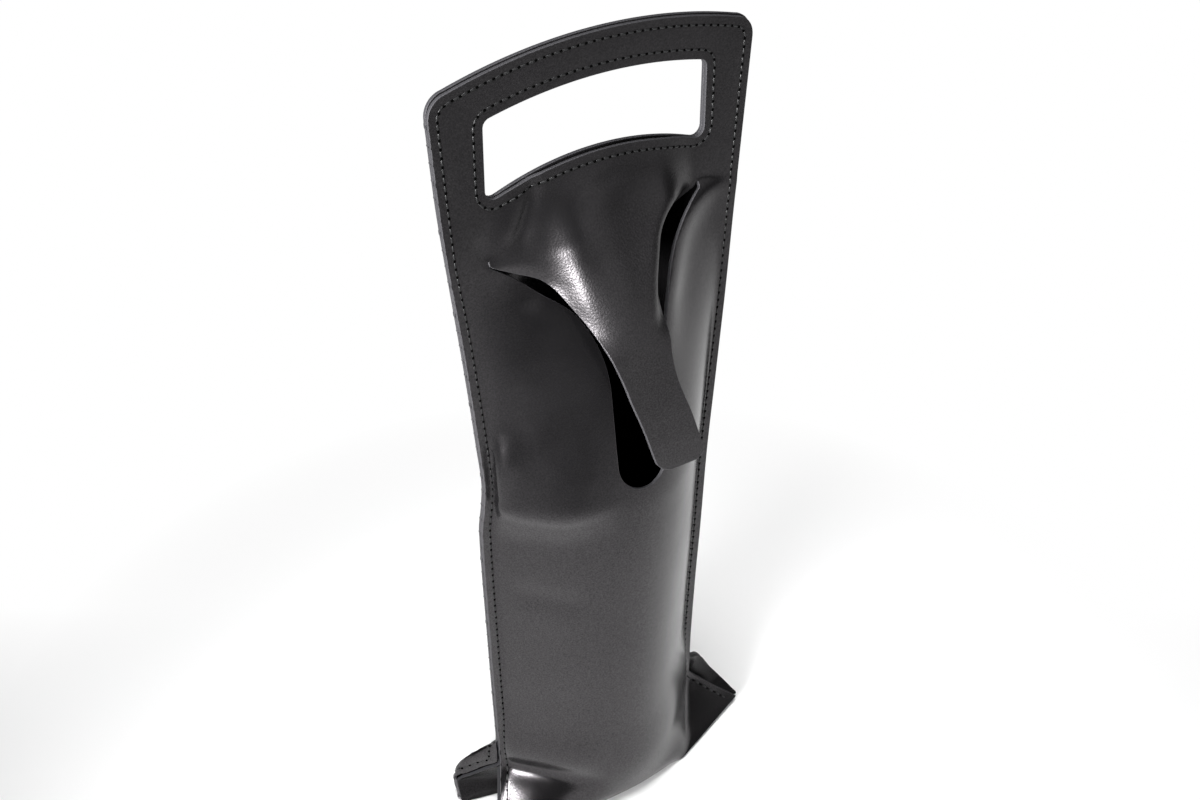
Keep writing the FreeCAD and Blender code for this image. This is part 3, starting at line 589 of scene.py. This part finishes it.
# Gives a sheet its thickness and rounded raw edges; part picks the triangles that become this piece
def leatherPiece(name, place, triangles, pressed, worn, part=None):
    half, rounding = hide["thick"] / 2, hide["edgeRound"]
    normal = vertexNormals(place, triangles)
    known, outer = sheetEdges(triangles)
    around = np.zeros_like(place)
    for a, b in outer:
        along = place[b] - place[a]
        along = along / np.linalg.norm(along)
        around[a] += along
        around[b] += along
    onEdge = np.linalg.norm(around, axis=1) > 1e-9
    outward = unit(np.cross(around, normal))
    outward[~onEdge] = 0
    small = rounding * 0.293
    rings = [
        (place - outward * rounding + normal * half, normal),
        (place - outward * small + normal * (half - small), normal + outward),
        (place + normal * (half - rounding), outward),
        (place - normal * (half - rounding), outward),
        (place - outward * small - normal * (half - small), outward - normal),
        (place - outward * rounding - normal * half, -normal),
    ]
    kept = triangles if part is None else triangles[part]
    number = {}
    places, normals = [], []
    shares = {"rawEdge": [], "grooveShadeShare": [], "wornShare": []}

    def vertex(ring, i):
        key = (ring, i)
        if key not in number:
            number[key] = len(places)
            places.append(rings[ring][0][i] * mm)
            normals.append(rings[ring][1][i])
            shares["rawEdge"].append(1.0 if 0 < ring < 5 else 0.0)
            # share of the stitch groove, which the material darkens as painted shade
            shares["grooveShadeShare"].append(pressed[i] / hide["groove"])
            shares["wornShare"].append(worn[i])
        return number[key]

    faces = []
    for a, b, c in kept.tolist():
        faces.append((vertex(0, a), vertex(0, b), vertex(0, c)))
        faces.append((vertex(5, c), vertex(5, b), vertex(5, a)))
    for a, b in sheetEdges(kept)[1]:
        steps = (0, 5) if (b, a) in known else range(6)   # no raw edge where the hide goes on
        for ring, after in zip(steps, steps[1:]):
            faces.append((vertex(ring, b), vertex(ring, a), vertex(after, a), vertex(after, b)))
    mesh = bpy.data.meshes.new(name)
    mesh.from_pydata([tuple(p) for p in places], [], faces)
    mesh.polygons.foreach_set("use_smooth", [True] * len(mesh.polygons))
    for label, values in shares.items():
        mesh.attributes.new(label, "FLOAT", "POINT").data.foreach_set("value", values)
    mesh.normals_split_custom_set_from_vertices([tuple(n) for n in unit(np.array(normals))])
    print(name, len(faces), "faces")
    return placed(name, mesh)


# Soft folds: a ridge or a valley along a line on the flat hide, faded towards its ends
# wide is its reach to both sides, under its reach to the right where that differs
frontFolds = [
    {"line": [(-80, 207), (-62, 204), (-42, 203), (-23, 206), (-5, 211)], "wide": 34, "under": 11,
     "high": 6.0, "fade": (0, 0.5)},
    {"line": [(-78, 28), (-60, 27), (-42, 25), (-16, 21)], "wide": 6, "high": -1.6, "fade": (0, 0.3)},
    {"line": [(-78, 43), (-58, 43), (-38, 41), (-14, 37)], "wide": 11, "high": 1.6, "fade": (0, 0.4)},
    {"line": [(-80, 202), (-62, 198), (-42, 197), (-23, 200), (-5, 205)], "wide": 4, "high": -0.7,
     "fade": (0, 0.5)},
    {"line": [(-77, 211), (-68, 230), (-62, 255)], "wide": 7, "high": 1.8, "fade": (0.1, 0.6)},
    {"line": [(-72, 152), (-47, 149), (-25, 144)], "wide": 7, "high": -0.7, "fade": (0.3, 0.3)},
    {"line": [(-32, 372), (-40, 353), (-46, 340)], "wide": 4, "high": -2.0, "fade": (0.3, 0.2)},
    {"line": [(-39, 366), (-45, 352), (-50, 342)], "wide": 4, "high": 1.3, "fade": (0.3, 0.3)},
    {"line": [(-61, 344), (-57, 339)], "wide": 4, "high": -1.1, "fade": (0, 0)},
]

tongueFolds = [
    {"line": [(-28, 366), (-22, 353), (-18, 339), (-17, 322), (-15, 306), (-11, 288), (-4, 262)],
     "wide": 26, "under": 10, "high": 5.5, "fade": (0.25, 0.55)},
]

# Folds end before the seams, closer to them at the feet
foldEnds = {"feetBelow": 60, "feet": 6, "body": 11}


def foldLift(flat, folds):
    lift = np.zeros(len(flat))
    for fold in folds:
        line = evenly(np.array(fold["line"], float), 1.0, False)
        apart = np.linalg.norm(flat[:, None] - line[None], axis=2)
        near = apart.argmin(1)
        at = near / (len(line) - 1)
        start, end = fold["fade"]
        strength = easeStep(at / max(start, 1e-3)) * easeStep((1 - at) / max(end, 1e-3))
        along, off = np.gradient(line, axis=0)[near], flat - line[near]
        right = along[:, 0] * off[:, 1] - along[:, 1] * off[:, 0] < 0
        wide = np.where(right, fold.get("under", fold["wide"]), fold["wide"])
        lift += fold["high"] * np.exp(-(apart.min(1) / wide) ** 2) * (strength if start or end else 1)
    reach = np.where(flat[:, 1] < foldEnds["feetBelow"], foldEnds["feet"], foldEnds["body"])
    return lift * easeStep((hide["halfCut"] - np.minimum(3, reach / 4) - np.abs(flat[:, 0])) / reach)


# The panel and the tongue have their own folds, the leather above the root has both
def frontLift(flat, inTongue):
    above = flat[:, 1] >= tongue["root"]
    return foldLift(flat, frontFolds) * (above | ~inTongue) + foldLift(flat, tongueFolds) * (above | inTongue)


def lineDistance(flat, line):
    tree = pointTree(line)
    return np.array([tree.find((point[0], point[1], 0))[2] for point in flat])


seam = {
    "inset": 4.3,        # long seam, from the outer edge
    "holeInset": 4.5,    # row round the hand hole
    "pitch": 4.0,
    "stitch": (3.3, 1.1, 0.6),   # length, width and height
    # hole: a flat black bead, painted shade standing in for the needle hole
    "hole": (1.6, 1.3, 0.7),     # needle hole between two stitches
    "wander": 0.06,              # turn of single stitches, in radians
    "beside": (-1.3, 0, 1.3),    # rows of mesh points along the seam
}

panelEdge = evenly(panelOutline(0), hide["grid"])
holeEdge = evenly(holeOutline(), 1.4)


# The line parallel to both sides and the top, as one open run from the left foot to the right one
def seamLine(inset, spacing):
    loop = evenly(offsetLine(evenly(panelOutline(0), 0.5), inset), 0.5)
    sides = loop[(loop[:, 1] > inset + 2) & (np.abs(loop[:, 0]) < hide["halfCut"] - inset + 0.05)]
    ordered = sides[np.argsort(np.unwrap(np.arctan2(sides[:, 0], 200 - sides[:, 1]) % (2 * math.pi)))]
    if ordered[0][0] > 0:
        ordered = ordered[::-1]
    return evenly(ordered, spacing, False)


def holeLine(inset, spacing):
    return evenly(offsetLine(evenly(holeOutline(), 0.5), -inset), spacing)


def seamRows():
    rows = [seamLine(seam["inset"] + shift, hide["grid"]) for shift in seam["beside"]]
    return rows + [holeLine(seam["holeInset"] + shift, hide["grid"]) for shift in seam["beside"]]


def grooveDepth(flat):
    near = lineDistance(flat, seamLine(seam["inset"], 0.4))
    hole = lineDistance(flat, holeLine(seam["holeInset"], 0.4))
    return hide["groove"] * np.exp(-(np.minimum(near, hole) / hide["grooveWide"]) ** 2)


def handleWear(flat):
    return easeStep((flat[:, 1] - wear["handleFrom"]) / wear["handleFade"])


def makePanels():
    rows = seamRows()
    root = straight((-tongue["half"] + 0.01, tongue["root"]), (tongue["half"] - 0.01, tongue["root"]), 56)
    flat, triangles = cutSheet([panelEdge, holeEdge, evenly(cutOutline(), 1.2)], [root[1:-1]], rows)
    lobe = np.vstack([tongueOutline(), [(-tongue["half"], tongue["root"]), (tongue["half"], tongue["root"])]])
    middle = flat[triangles].mean(1)
    tongueFace = insideLoop(middle, lobe) & (middle[:, 1] < tongue["root"])
    inTongue = np.zeros(len(flat), bool)
    inTongue[triangles[tongueFace].ravel()] = True
    place = frontPoint(flat, inTongue)
    pressed = grooveDepth(flat)
    place += vertexNormals(place, triangles) * (frontLift(flat, inTongue) - pressed)[:, None]
    strap = inTongue | (flat[:, 1] > tongue["root"])
    worn = strap * easeStep((wear["strapTop"] - flat[:, 1]) / wear["strapFade"])
    worn *= easeStep((wear["strapHalf"] - np.abs(flat[:, 0])) / wear["strapSideFade"])
    worn = np.maximum(worn, handleWear(flat))
    front = leatherPiece("frontPanel", place, triangles, pressed, worn, ~tongueFace)
    flap = leatherPiece("closureTongue", place, triangles, pressed, worn, tongueFace)

    outer = evenly(panelOutline(handle["backOverhang"]), hide["grid"])
    flatBack, trianglesBack = cutSheet([outer, holeEdge], [], rows)
    placeBack = panelPoint(1, flatBack)
    trianglesBack = trianglesBack[:, ::-1]
    pressed = grooveDepth(flatBack)
    placeBack -= vertexNormals(placeBack, trianglesBack) * pressed[:, None]
    back = leatherPiece("backPanel", placeBack, trianglesBack, pressed, handleWear(flatBack))
    return front, flap, back


frontPanel, closureTongue, backPanel = makePanels()


gusset = {
    "valleyHalf": 40.0,   # flat middle of the base
    "legInset": 2.0,      # distance of its leather from the panel's, in the legs
    "floorInset": 0.5,
    "rows": 9,
}


def makeGusset():
    def border(face):
        rows = panelGrid[face]
        split = splitLevel[face]
        legs = [rows[:split + 1, end] - (0, face * gusset["legInset"], 0) for end in (0, -1)]
        floor = rows[0] - (0, face * gusset["floorInset"], 0)
        floor[0], floor[-1] = legs[0][0], legs[1][0]
        legs = [readLine(np.linspace(0, split, 16), np.arange(split + 1), leg) for leg in legs]
        pick = np.linspace(0, len(floor) - 1, 80).round().astype(int)
        return np.vstack([legs[0][::-1], floor[pick][1:-1], legs[1]])

    front, back = border(-1), border(1)
    half = gusset["valleyHalf"]
    top = splitLevel[-1]
    inset = gusset["legInset"]
    down = np.linspace(1, 0, 16)
    left, right = [np.stack([end + (side - end) * down, 0 * down, 1 + (top - 3) * down], 1)
                   for end, side in ((-half, leftSide(top) + inset), (half, rightSide(top) - inset))]
    flatMiddle = straight((-half, 0, 1), (half, 0, 1), 80)[1:-1]
    valley = np.vstack([left, flatMiddle, right[::-1]])
    share = np.linspace(0, 1, gusset["rows"])[:, None, None]
    grid = np.vstack([front * (1 - share) + valley * share, (valley * (1 - share) + back * share)[1:]])
    index = np.arange(grid.size // 3).reshape(grid.shape[:2])
    a, b = index[:-1, :-1].ravel(), index[:-1, 1:].ravel()
    c, d = index[1:, 1:].ravel(), index[1:, :-1].ravel()
    triangles = np.vstack([np.stack([a, c, b], 1), np.stack([a, d, c], 1)])
    plain = np.zeros(grid.size // 3)
    return leatherPiece("baseGusset", grid.reshape(-1, 3), triangles, plain, plain)


baseGusset = makeGusset()


# Gives a function that adds nodes; each input takes a value or the output of another node
def nodeMaker(tree):
    def add(kind, inputs=None, **settings):
        node = tree.nodes.new(kind)
        for label, value in settings.items():
            setattr(node, label, value)
        for socket, value in (inputs or {}).items():
            if isinstance(value, bpy.types.NodeSocket):
                tree.links.new(value, node.inputs[socket])
            else:
                node.inputs[socket].default_value = value
        return node.outputs

    return add


def mathNode(add, operation, *values):
    return add("ShaderNodeMath", dict(enumerate(values)), operation=operation)[0]


# Stitches: one node tree that lays a short thread on every point
def stitchTree():
    tree = bpy.data.node_groups.new("laidStitches", "GeometryNodeTree")
    sockets = {"Geometry": "Geometry", "Length": "Float", "Wide": "Float", "High": "Float", "Wander": "Float",
               "Thread": "Material"}
    for label, kind in sockets.items():
        tree.interface.new_socket(label, in_out="INPUT", socket_type="NodeSocket" + kind)
    tree.interface.new_socket("Geometry", in_out="OUTPUT", socket_type="NodeSocketGeometry")
    add = nodeMaker(tree)
    given = add("NodeGroupInput")
    bead = add("GeometryNodeMeshUVSphere", {"Segments": 8, "Rings": 6, "Radius": 0.5})
    size = add("ShaderNodeCombineXYZ", {"X": given["Length"], "Y": given["Wide"], "Z": given["High"]})
    bead = add("GeometryNodeTransform", {"Geometry": bead["Mesh"], "Rotation": (0, math.pi / 2, 0)})
    bead = add("GeometryNodeTransform", {"Geometry": bead["Geometry"], "Scale": size["Vector"]})
    run, up = [add("GeometryNodeInputNamedAttribute", {"Name": label}, data_type="FLOAT_VECTOR")["Attribute"]
               for label in ("stitchRun", "stitchUp")]
    turn = add("FunctionNodeAlignRotationToVector", {"Vector": run}, axis="X")
    turn = add("FunctionNodeAlignRotationToVector", {"Rotation": turn["Rotation"], "Vector": up},
               axis="Z", pivot_axis="X")
    most = given["Wander"]
    least = mathNode(add, "MULTIPLY", most, -1)
    wander = add("FunctionNodeRandomValue", {"Seed": 7, 2: least, 3: most}, data_type="FLOAT")
    slant = add("ShaderNodeCombineXYZ", {"Z": wander[1]})
    slant = add("FunctionNodeEulerToRotation", {"Euler": slant["Vector"]})
    turn = add("FunctionNodeRotateRotation", {"Rotation": turn["Rotation"], "Rotate By": slant["Rotation"]},
               rotation_space="LOCAL")
    laid = add("GeometryNodeInstanceOnPoints", {"Points": given["Geometry"], "Instance": bead["Geometry"],
                                                "Rotation": turn["Rotation"]})
    laid = add("GeometryNodeRealizeInstances", {"Geometry": laid["Instances"]})
    laid = add("GeometryNodeSetShadeSmooth", {"Geometry": laid["Geometry"]})
    laid = add("GeometryNodeSetMaterial", {"Geometry": laid["Geometry"], "Material": given["Thread"]})
    add("NodeGroupOutput", {"Geometry": laid["Geometry"]})
    return tree


def newMaterial(name):
    material = bpy.data.materials.new(name)
    material.use_nodes = True
    material.node_tree.nodes.clear()
    add = nodeMaker(material.node_tree)
    return material, add, add("ShaderNodeTexCoord")["Object"]


def addSurface(add, look):
    shader = add("ShaderNodeBsdfPrincipled", look)
    add("ShaderNodeOutputMaterial", {"Surface": shader["BSDF"]})


def noiseField(add, where, scale, detail=3.0):
    return add("ShaderNodeTexNoise", {"Scale": scale, "Detail": detail, "Vector": where})["Fac"]


def spreadRange(add, value, low, high, fromLow=0.3, fromHigh=0.7):
    ends = {"Value": value, "From Min": fromLow, "From Max": fromHigh, "To Min": low, "To Max": high}
    return add("ShaderNodeMapRange", ends)["Result"]


def mixColours(add, share, first, second):
    first, second = [(*tone, 1) if isinstance(tone, tuple) else tone for tone in (first, second)]
    return add("ShaderNodeMix", {"Factor": share, 6: first, 7: second}, data_type="RGBA")[2]


leather = {
    "dark": (0.0025, 0.0024, 0.0026),
    "light": (0.005, 0.0048, 0.0051),
    "edge": (0.022, 0.022, 0.024),
    # The tone below, and the smaller share of shine in the stitch groove, are painted shade in that recess
    "line": (0.003, 0.003, 0.003),
    "cloudScale": 22,
    "gloss": (0.16, 0.24),   # roughness from the polished to the dull patches
    "patchScale": 35,
    "wornDull": 0.24,        # added on the strap and the handle
    "edgeDull": 0.62,
    "grain": (0.06, 0.3),    # strength on the panels and on the strap and handle
    "grainScale": 1100,
    "grainSmooth": 0.6,
    "pores": 0.06,
    "poreScale": 2400,
    "bump": 0.0003,
    "speckle": (0.7, 1.3),   # fine grain in the shine
    "speckleScale": 1300,
    # Less shine in the stitch groove: painted shade
    "grooveShadeShine": 0.85,       # share of the shine left in the groove
    "handled": 0.6,          # share of the shine left on the handle
    "handledFrom": (0.325, 0.355),
    "tint": (1.0, 0.95, 0.99),
    # The gusset's copy of the hide has much less shine, so the hollow under the ears renders dark: painted
    # shade
    "shine": {"blackHide": 0.5, "hollowShadeHide": 0.12},
}


def hideMaterial(name, shine):
    material, add, where = newMaterial(name)
    raw, worn, pressed = [add("ShaderNodeAttribute", attribute_name=label)["Fac"]
                          for label in ("rawEdge", "wornShare", "grooveShadeShare")]
    cloud = spreadRange(add, noiseField(add, where, leather["cloudScale"]), 0, 1)
    tone = mixColours(add, cloud, leather["dark"], leather["light"])
    tone = mixColours(add, raw, tone, leather["edge"])
    # Painted shade: the stitch groove gets a darker tone and less shine
    tone = mixColours(add, pressed, tone, leather["line"])
    speckle = spreadRange(add, noiseField(add, where, leather["speckleScale"], 2.0), *leather["speckle"])
    grooveShadeGleam = spreadRange(add, pressed, shine, shine * leather["grooveShadeShine"], 0, 1)
    level = add("ShaderNodeSeparateXYZ", {0: where})["Z"]
    handled = spreadRange(add, level, 1, leather["handled"], *leather["handledFrom"])
    gleam = mathNode(add, "MULTIPLY", mathNode(add, "MULTIPLY", speckle, grooveShadeGleam), handled)
    patch = spreadRange(add, noiseField(add, where, leather["patchScale"], 5.0), *leather["gloss"])
    duller = mathNode(add, "MULTIPLY_ADD", worn, leather["wornDull"], patch)
    rough = add("ShaderNodeMix", {"Factor": raw, "A": duller, "B": leather["edgeDull"]})["Result"]
    grain = {"Scale": leather["grainScale"], "Smoothness": leather["grainSmooth"], "Vector": where}
    grain = add("ShaderNodeTexVoronoi", grain, feature="SMOOTH_F1")["Distance"]
    strength = spreadRange(add, worn, *leather["grain"], 0, 1)
    bump = add("ShaderNodeBump", {"Distance": leather["bump"], "Strength": strength, "Height": grain})
    pores = noiseField(add, where, leather["poreScale"], 2.0)
    bump = add("ShaderNodeBump", {"Distance": leather["bump"], "Strength": leather["pores"], "Height": pores,
                                  "Normal": bump["Normal"]})
    addSurface(add, {"Base Color": tone, "Specular IOR Level": gleam, "Specular Tint": (*leather["tint"], 1),
                     "Roughness": rough, "Normal": bump["Normal"]})
    return material


waxedThread = {"dark": (0.003, 0.003, 0.0033), "light": (0.007, 0.007, 0.0075), "rough": 0.42, "shine": 0.4,
               "twist": 1500, "bump": {"Strength": 0.3, "Distance": 0.0002}}


def threadMaterial():
    material, add, where = newMaterial("waxedBlackThread")
    fibre = noiseField(add, where, waxedThread["twist"])
    tone = mixColours(add, fibre, waxedThread["dark"], waxedThread["light"])
    bump = add("ShaderNodeBump", {**waxedThread["bump"], "Height": fibre})["Normal"]
    addSurface(add, {"Base Color": tone, "Roughness": waxedThread["rough"],
                     "Specular IOR Level": waxedThread["shine"], "Normal": bump})
    return material


# Flat black with no shine: painted shade inside the needle holes
holeShadeLook = {"Base Color": (0.0008, 0.0008, 0.0008, 1), "Specular IOR Level": 0.0, "Roughness": 1.0}

blackHide, hollowShadeHide = [hideMaterial(name, shine) for name, shine in leather["shine"].items()]
blackThread = threadMaterial()
needleHoleShade, addToHoleShade = newMaterial("needleHoleShade")[:2]
addSurface(addToHoleShade, holeShadeLook)
laidStitches = stitchTree()


def surfaceAt(face, flat):
    onPanel = np.zeros(len(flat), bool)
    step = 0.4

    def mapped(where):
        return frontPoint(where, onPanel) if face < 0 else panelPoint(1, where)

    place = mapped(flat)
    across = mapped(flat + (step, 0)) - mapped(flat - (step, 0))
    upward = mapped(flat + (0, step)) - mapped(flat - (0, step))
    normal = unit(np.cross(across, upward) * -face)
    place = place - normal * grooveDepth(flat)[:, None]
    if face < 0:
        place += normal * frontLift(flat, onPanel)[:, None]
    return place, normal


# Lays a bead on every point of a line: the stitches, or black beads of painted shade for the needle holes
# between them
def laidBeads(name, face, flat, closed, size, wander, material):
    place, normal = surfaceAt(face, flat)
    if closed:
        run = np.roll(place, -1, 0) - np.roll(place, 1, 0)
    else:
        run = np.gradient(place, axis=0)
    place = place + normal * (hide["thick"] / 2 + 0.05)
    mesh = bpy.data.meshes.new(name)
    mesh.from_pydata([tuple(p) for p in place * mm], [], [])
    for label, values in (("stitchRun", run), ("stitchUp", normal)):
        mesh.attributes.new(label, "FLOAT_VECTOR", "POINT").data.foreach_set("vector", values.ravel())
    piece = placed(name, mesh)
    modifier = piece.modifiers.new("stitches", "NODES")
    modifier.node_group = laidStitches
    values = {"Wander": wander, "Thread": material}
    values.update((label, length * mm) for label, length in zip(("Length", "Wide", "High"), size))
    for item in laidStitches.interface.items_tree:
        if item.in_out == "INPUT" and item.name in values:
            modifier[item.identifier] = values[item.name]
    graph = bpy.context.evaluated_depsgraph_get()
    made = bpy.data.meshes.new_from_object(piece.evaluated_get(graph))
    bpy.data.objects.remove(piece)
    return made


def makeStitches(name, face, line, closed=False):
    flat = evenly(line, seam["pitch"], closed)
    between = (flat + np.roll(flat, -1, 0)) / 2
    if not closed:
        between = between[:-1]
    threads = laidBeads(name, face, flat, closed, seam["stitch"], seam["wander"], blackThread)
    holeShades = laidBeads(name + "Holes", face, between, closed, seam["hole"], 0.0, needleHoleShade)
    both = bmesh.new()
    both.from_mesh(threads)
    first = len(both.faces)
    both.from_mesh(holeShades)
    for i, polygon in enumerate(both.faces):
        polygon.material_index = 0 if i < first else 1
    mesh = bpy.data.meshes.new(name)
    both.to_mesh(mesh)
    both.free()
    mesh.materials.append(blackThread)
    mesh.materials.append(needleHoleShade)
    print(name, len(flat), "stitches")
    return placed(name, mesh)


# The long seam runs from split to split, each leg has its own short row
def seamParts(face):
    split = splitLevel[face]
    line = seamLine(seam["inset"], 0.5)
    low = line[:, 1] < split
    left, right = line[low & (line[:, 0] < 0)], line[low & (line[:, 0] > 0)]
    return line[~low], left, right


stitchNodes = []
for face, word in ((-1, "front"), (1, "back")):
    longRow, leftRow, rightRow = seamParts(face)
    for name, node, row in (("outerSeam", "outer_seam_%s_thread", longRow),
                            ("handHole", "hand_hole_%s_thread", holeLine(seam["holeInset"], 0.5)),
                            ("leftLeg", "left_%s_leg_seam", leftRow),
                            ("rightLeg", "right_%s_leg_seam", rightRow)):
        threads = makeStitches(name + word.title(), face, row, name == "handHole")
        stitchNodes.append((threads, node % word))


# Each hide as it was cut, in metres and square metres, measured along the leather
cutHides = [
    {"piece": frontPanel, "node": "front_panel", "material": blackHide,
     "flat": (0.166, 0.443), "area": 0.0575, "held": "stretched", "on": [baseGusset, backPanel]},
    {"piece": backPanel, "node": "back_panel", "material": blackHide,
     "flat": (0.183, 0.445), "area": 0.0635, "held": "stretched", "on": [baseGusset, frontPanel]},
    # The gusset wears the less shiny copy of the hide: painted shade in the hollow
    {"piece": baseGusset, "node": "base_gusset", "material": hollowShadeHide,
     "flat": (0.183, 0.102), "area": 0.0104, "held": "folded", "on": [frontPanel, backPanel]},
    {"piece": closureTongue, "node": "closure_tongue", "material": blackHide,
     "flat": (0.113, 0.121), "area": 0.0053, "held": "hung", "on": [frontPanel]},
]
for cut in cutHides:
    piece = cut["piece"]
    piece.data.materials.append(cut["material"])
    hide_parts(cut["node"])
    if piece is not closureTongue:
        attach(piece, "carrier")
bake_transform(closureTongue)
for piece, node in stitchNodes:
    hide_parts(node)
    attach(piece, "carrier")


studio = {
    "floor": 0.9,
    "floorRough": 0.9,
    "floorHalf": 2.2,
    "world": 0.1,
    "glowAway": (0.12, 0.35),        # the floor turns white this far from the object
    "glowBehind": (-0.05, 0.12),     # and this far past it
    "behind": (0.5537, 0.8327, 0),   # from the camera, past the object
    "camera": (-0.35906, -0.54337, 0.69260),
    "target": (0.00181, 0.0, 0.2388),
    "lens": 50,
    "sensor": 36,
    "lamps": [
        {"name": "overhead", "place": (-0.14, -0.12, 1.1), "aim": (-0.02, -0.04, 0),
         "size": 0.5, "spread": 60, "power": 2.1},
        {"name": "keySoftbox", "place": (-1.15, -0.55, 0.45), "aim": (0, 0, 0.37),
         "size": 0.48, "spread": 36, "power": 5.4},
        {"name": "frontFloorLight", "place": (0.5, -0.72, 0.9), "aim": (0.5, -0.72, 0),
         "size": 0.6, "spread": 80, "power": 1.7},
        {"name": "frontFill", "place": (0.6, -1.1, 0.6), "aim": (0, 0, 0.3),
         "size": 0.8, "spread": 60, "power": 0.2},
    ],
}


# Pale floor, for the picture only: it turns white away from the object and keeps the shadow near the base
def makeFloor():
    mesh = bpy.data.meshes.new("paleFloor")
    half = studio["floorHalf"]
    corners = [(-half, -half, 0), (half, -half, 0), (half, half, 0), (-half, half, 0)]
    mesh.from_pydata(corners, [], [(0, 1, 2, 3)])
    floor = placed("paleFloor", mesh)
    material, add, where = newMaterial("paleFloor")
    pale = studio["floor"]
    look = {"Base Color": (pale, pale, pale, 1), "Roughness": studio["floorRough"]}
    plain = add("ShaderNodeBsdfPrincipled", look)["BSDF"]
    path = add("ShaderNodeLightPath")
    seen = mathNode(add, "ADD", path["Is Glossy Ray"], path["Is Transmission Ray"])
    seen = mathNode(add, "ADD", path["Is Camera Ray"], seen)
    away = add("ShaderNodeVectorMath", {0: where}, operation="LENGTH")
    away = spreadRange(add, away["Value"], 0, 1, *studio["glowAway"])
    past = add("ShaderNodeVectorMath", {0: where, 1: studio["behind"]}, operation="DOT_PRODUCT")
    past = spreadRange(add, past["Value"], 0, 1, *studio["glowBehind"])
    share = mathNode(add, "MULTIPLY", seen, mathNode(add, "MULTIPLY", away, past))
    glow = add("ShaderNodeEmission")["Emission"]
    both = add("ShaderNodeMixShader", {"Fac": share, 1: plain, 2: glow})
    add("ShaderNodeOutputMaterial", {"Surface": both["Shader"]})
    mesh.materials.append(material)


def aimAt(holder, place, aim):
    holder.location = place
    holder.rotation_euler = (Vector(aim) - Vector(place)).to_track_quat("-Z", "Y").to_euler()


def makeLamp(plan):
    lamp = bpy.data.lights.new(plan["name"], "AREA")
    lamp.size = plan["size"]
    lamp.energy = plan["power"]
    lamp.spread = math.radians(plan["spread"])
    aimAt(placed(plan["name"], lamp), plan["place"], plan["aim"])


def makeStudio():
    scene = bpy.context.scene
    scene.view_settings.view_transform = "Standard"
    world = bpy.data.worlds.new("dimStudio")
    world.use_nodes = True
    level = studio["world"]
    world.node_tree.nodes["Background"].inputs["Color"].default_value = (level, level, level, 1)
    scene.world = world
    makeFloor()
    for plan in studio["lamps"]:
        makeLamp(plan)
    lens = bpy.data.cameras.new("camera")
    lens.lens = studio["lens"]
    lens.sensor_width = studio["sensor"]
    scene.camera = placed("camera", lens)
    aimAt(scene.camera, studio["camera"], studio["target"])


makeStudio()
print("studio ready")
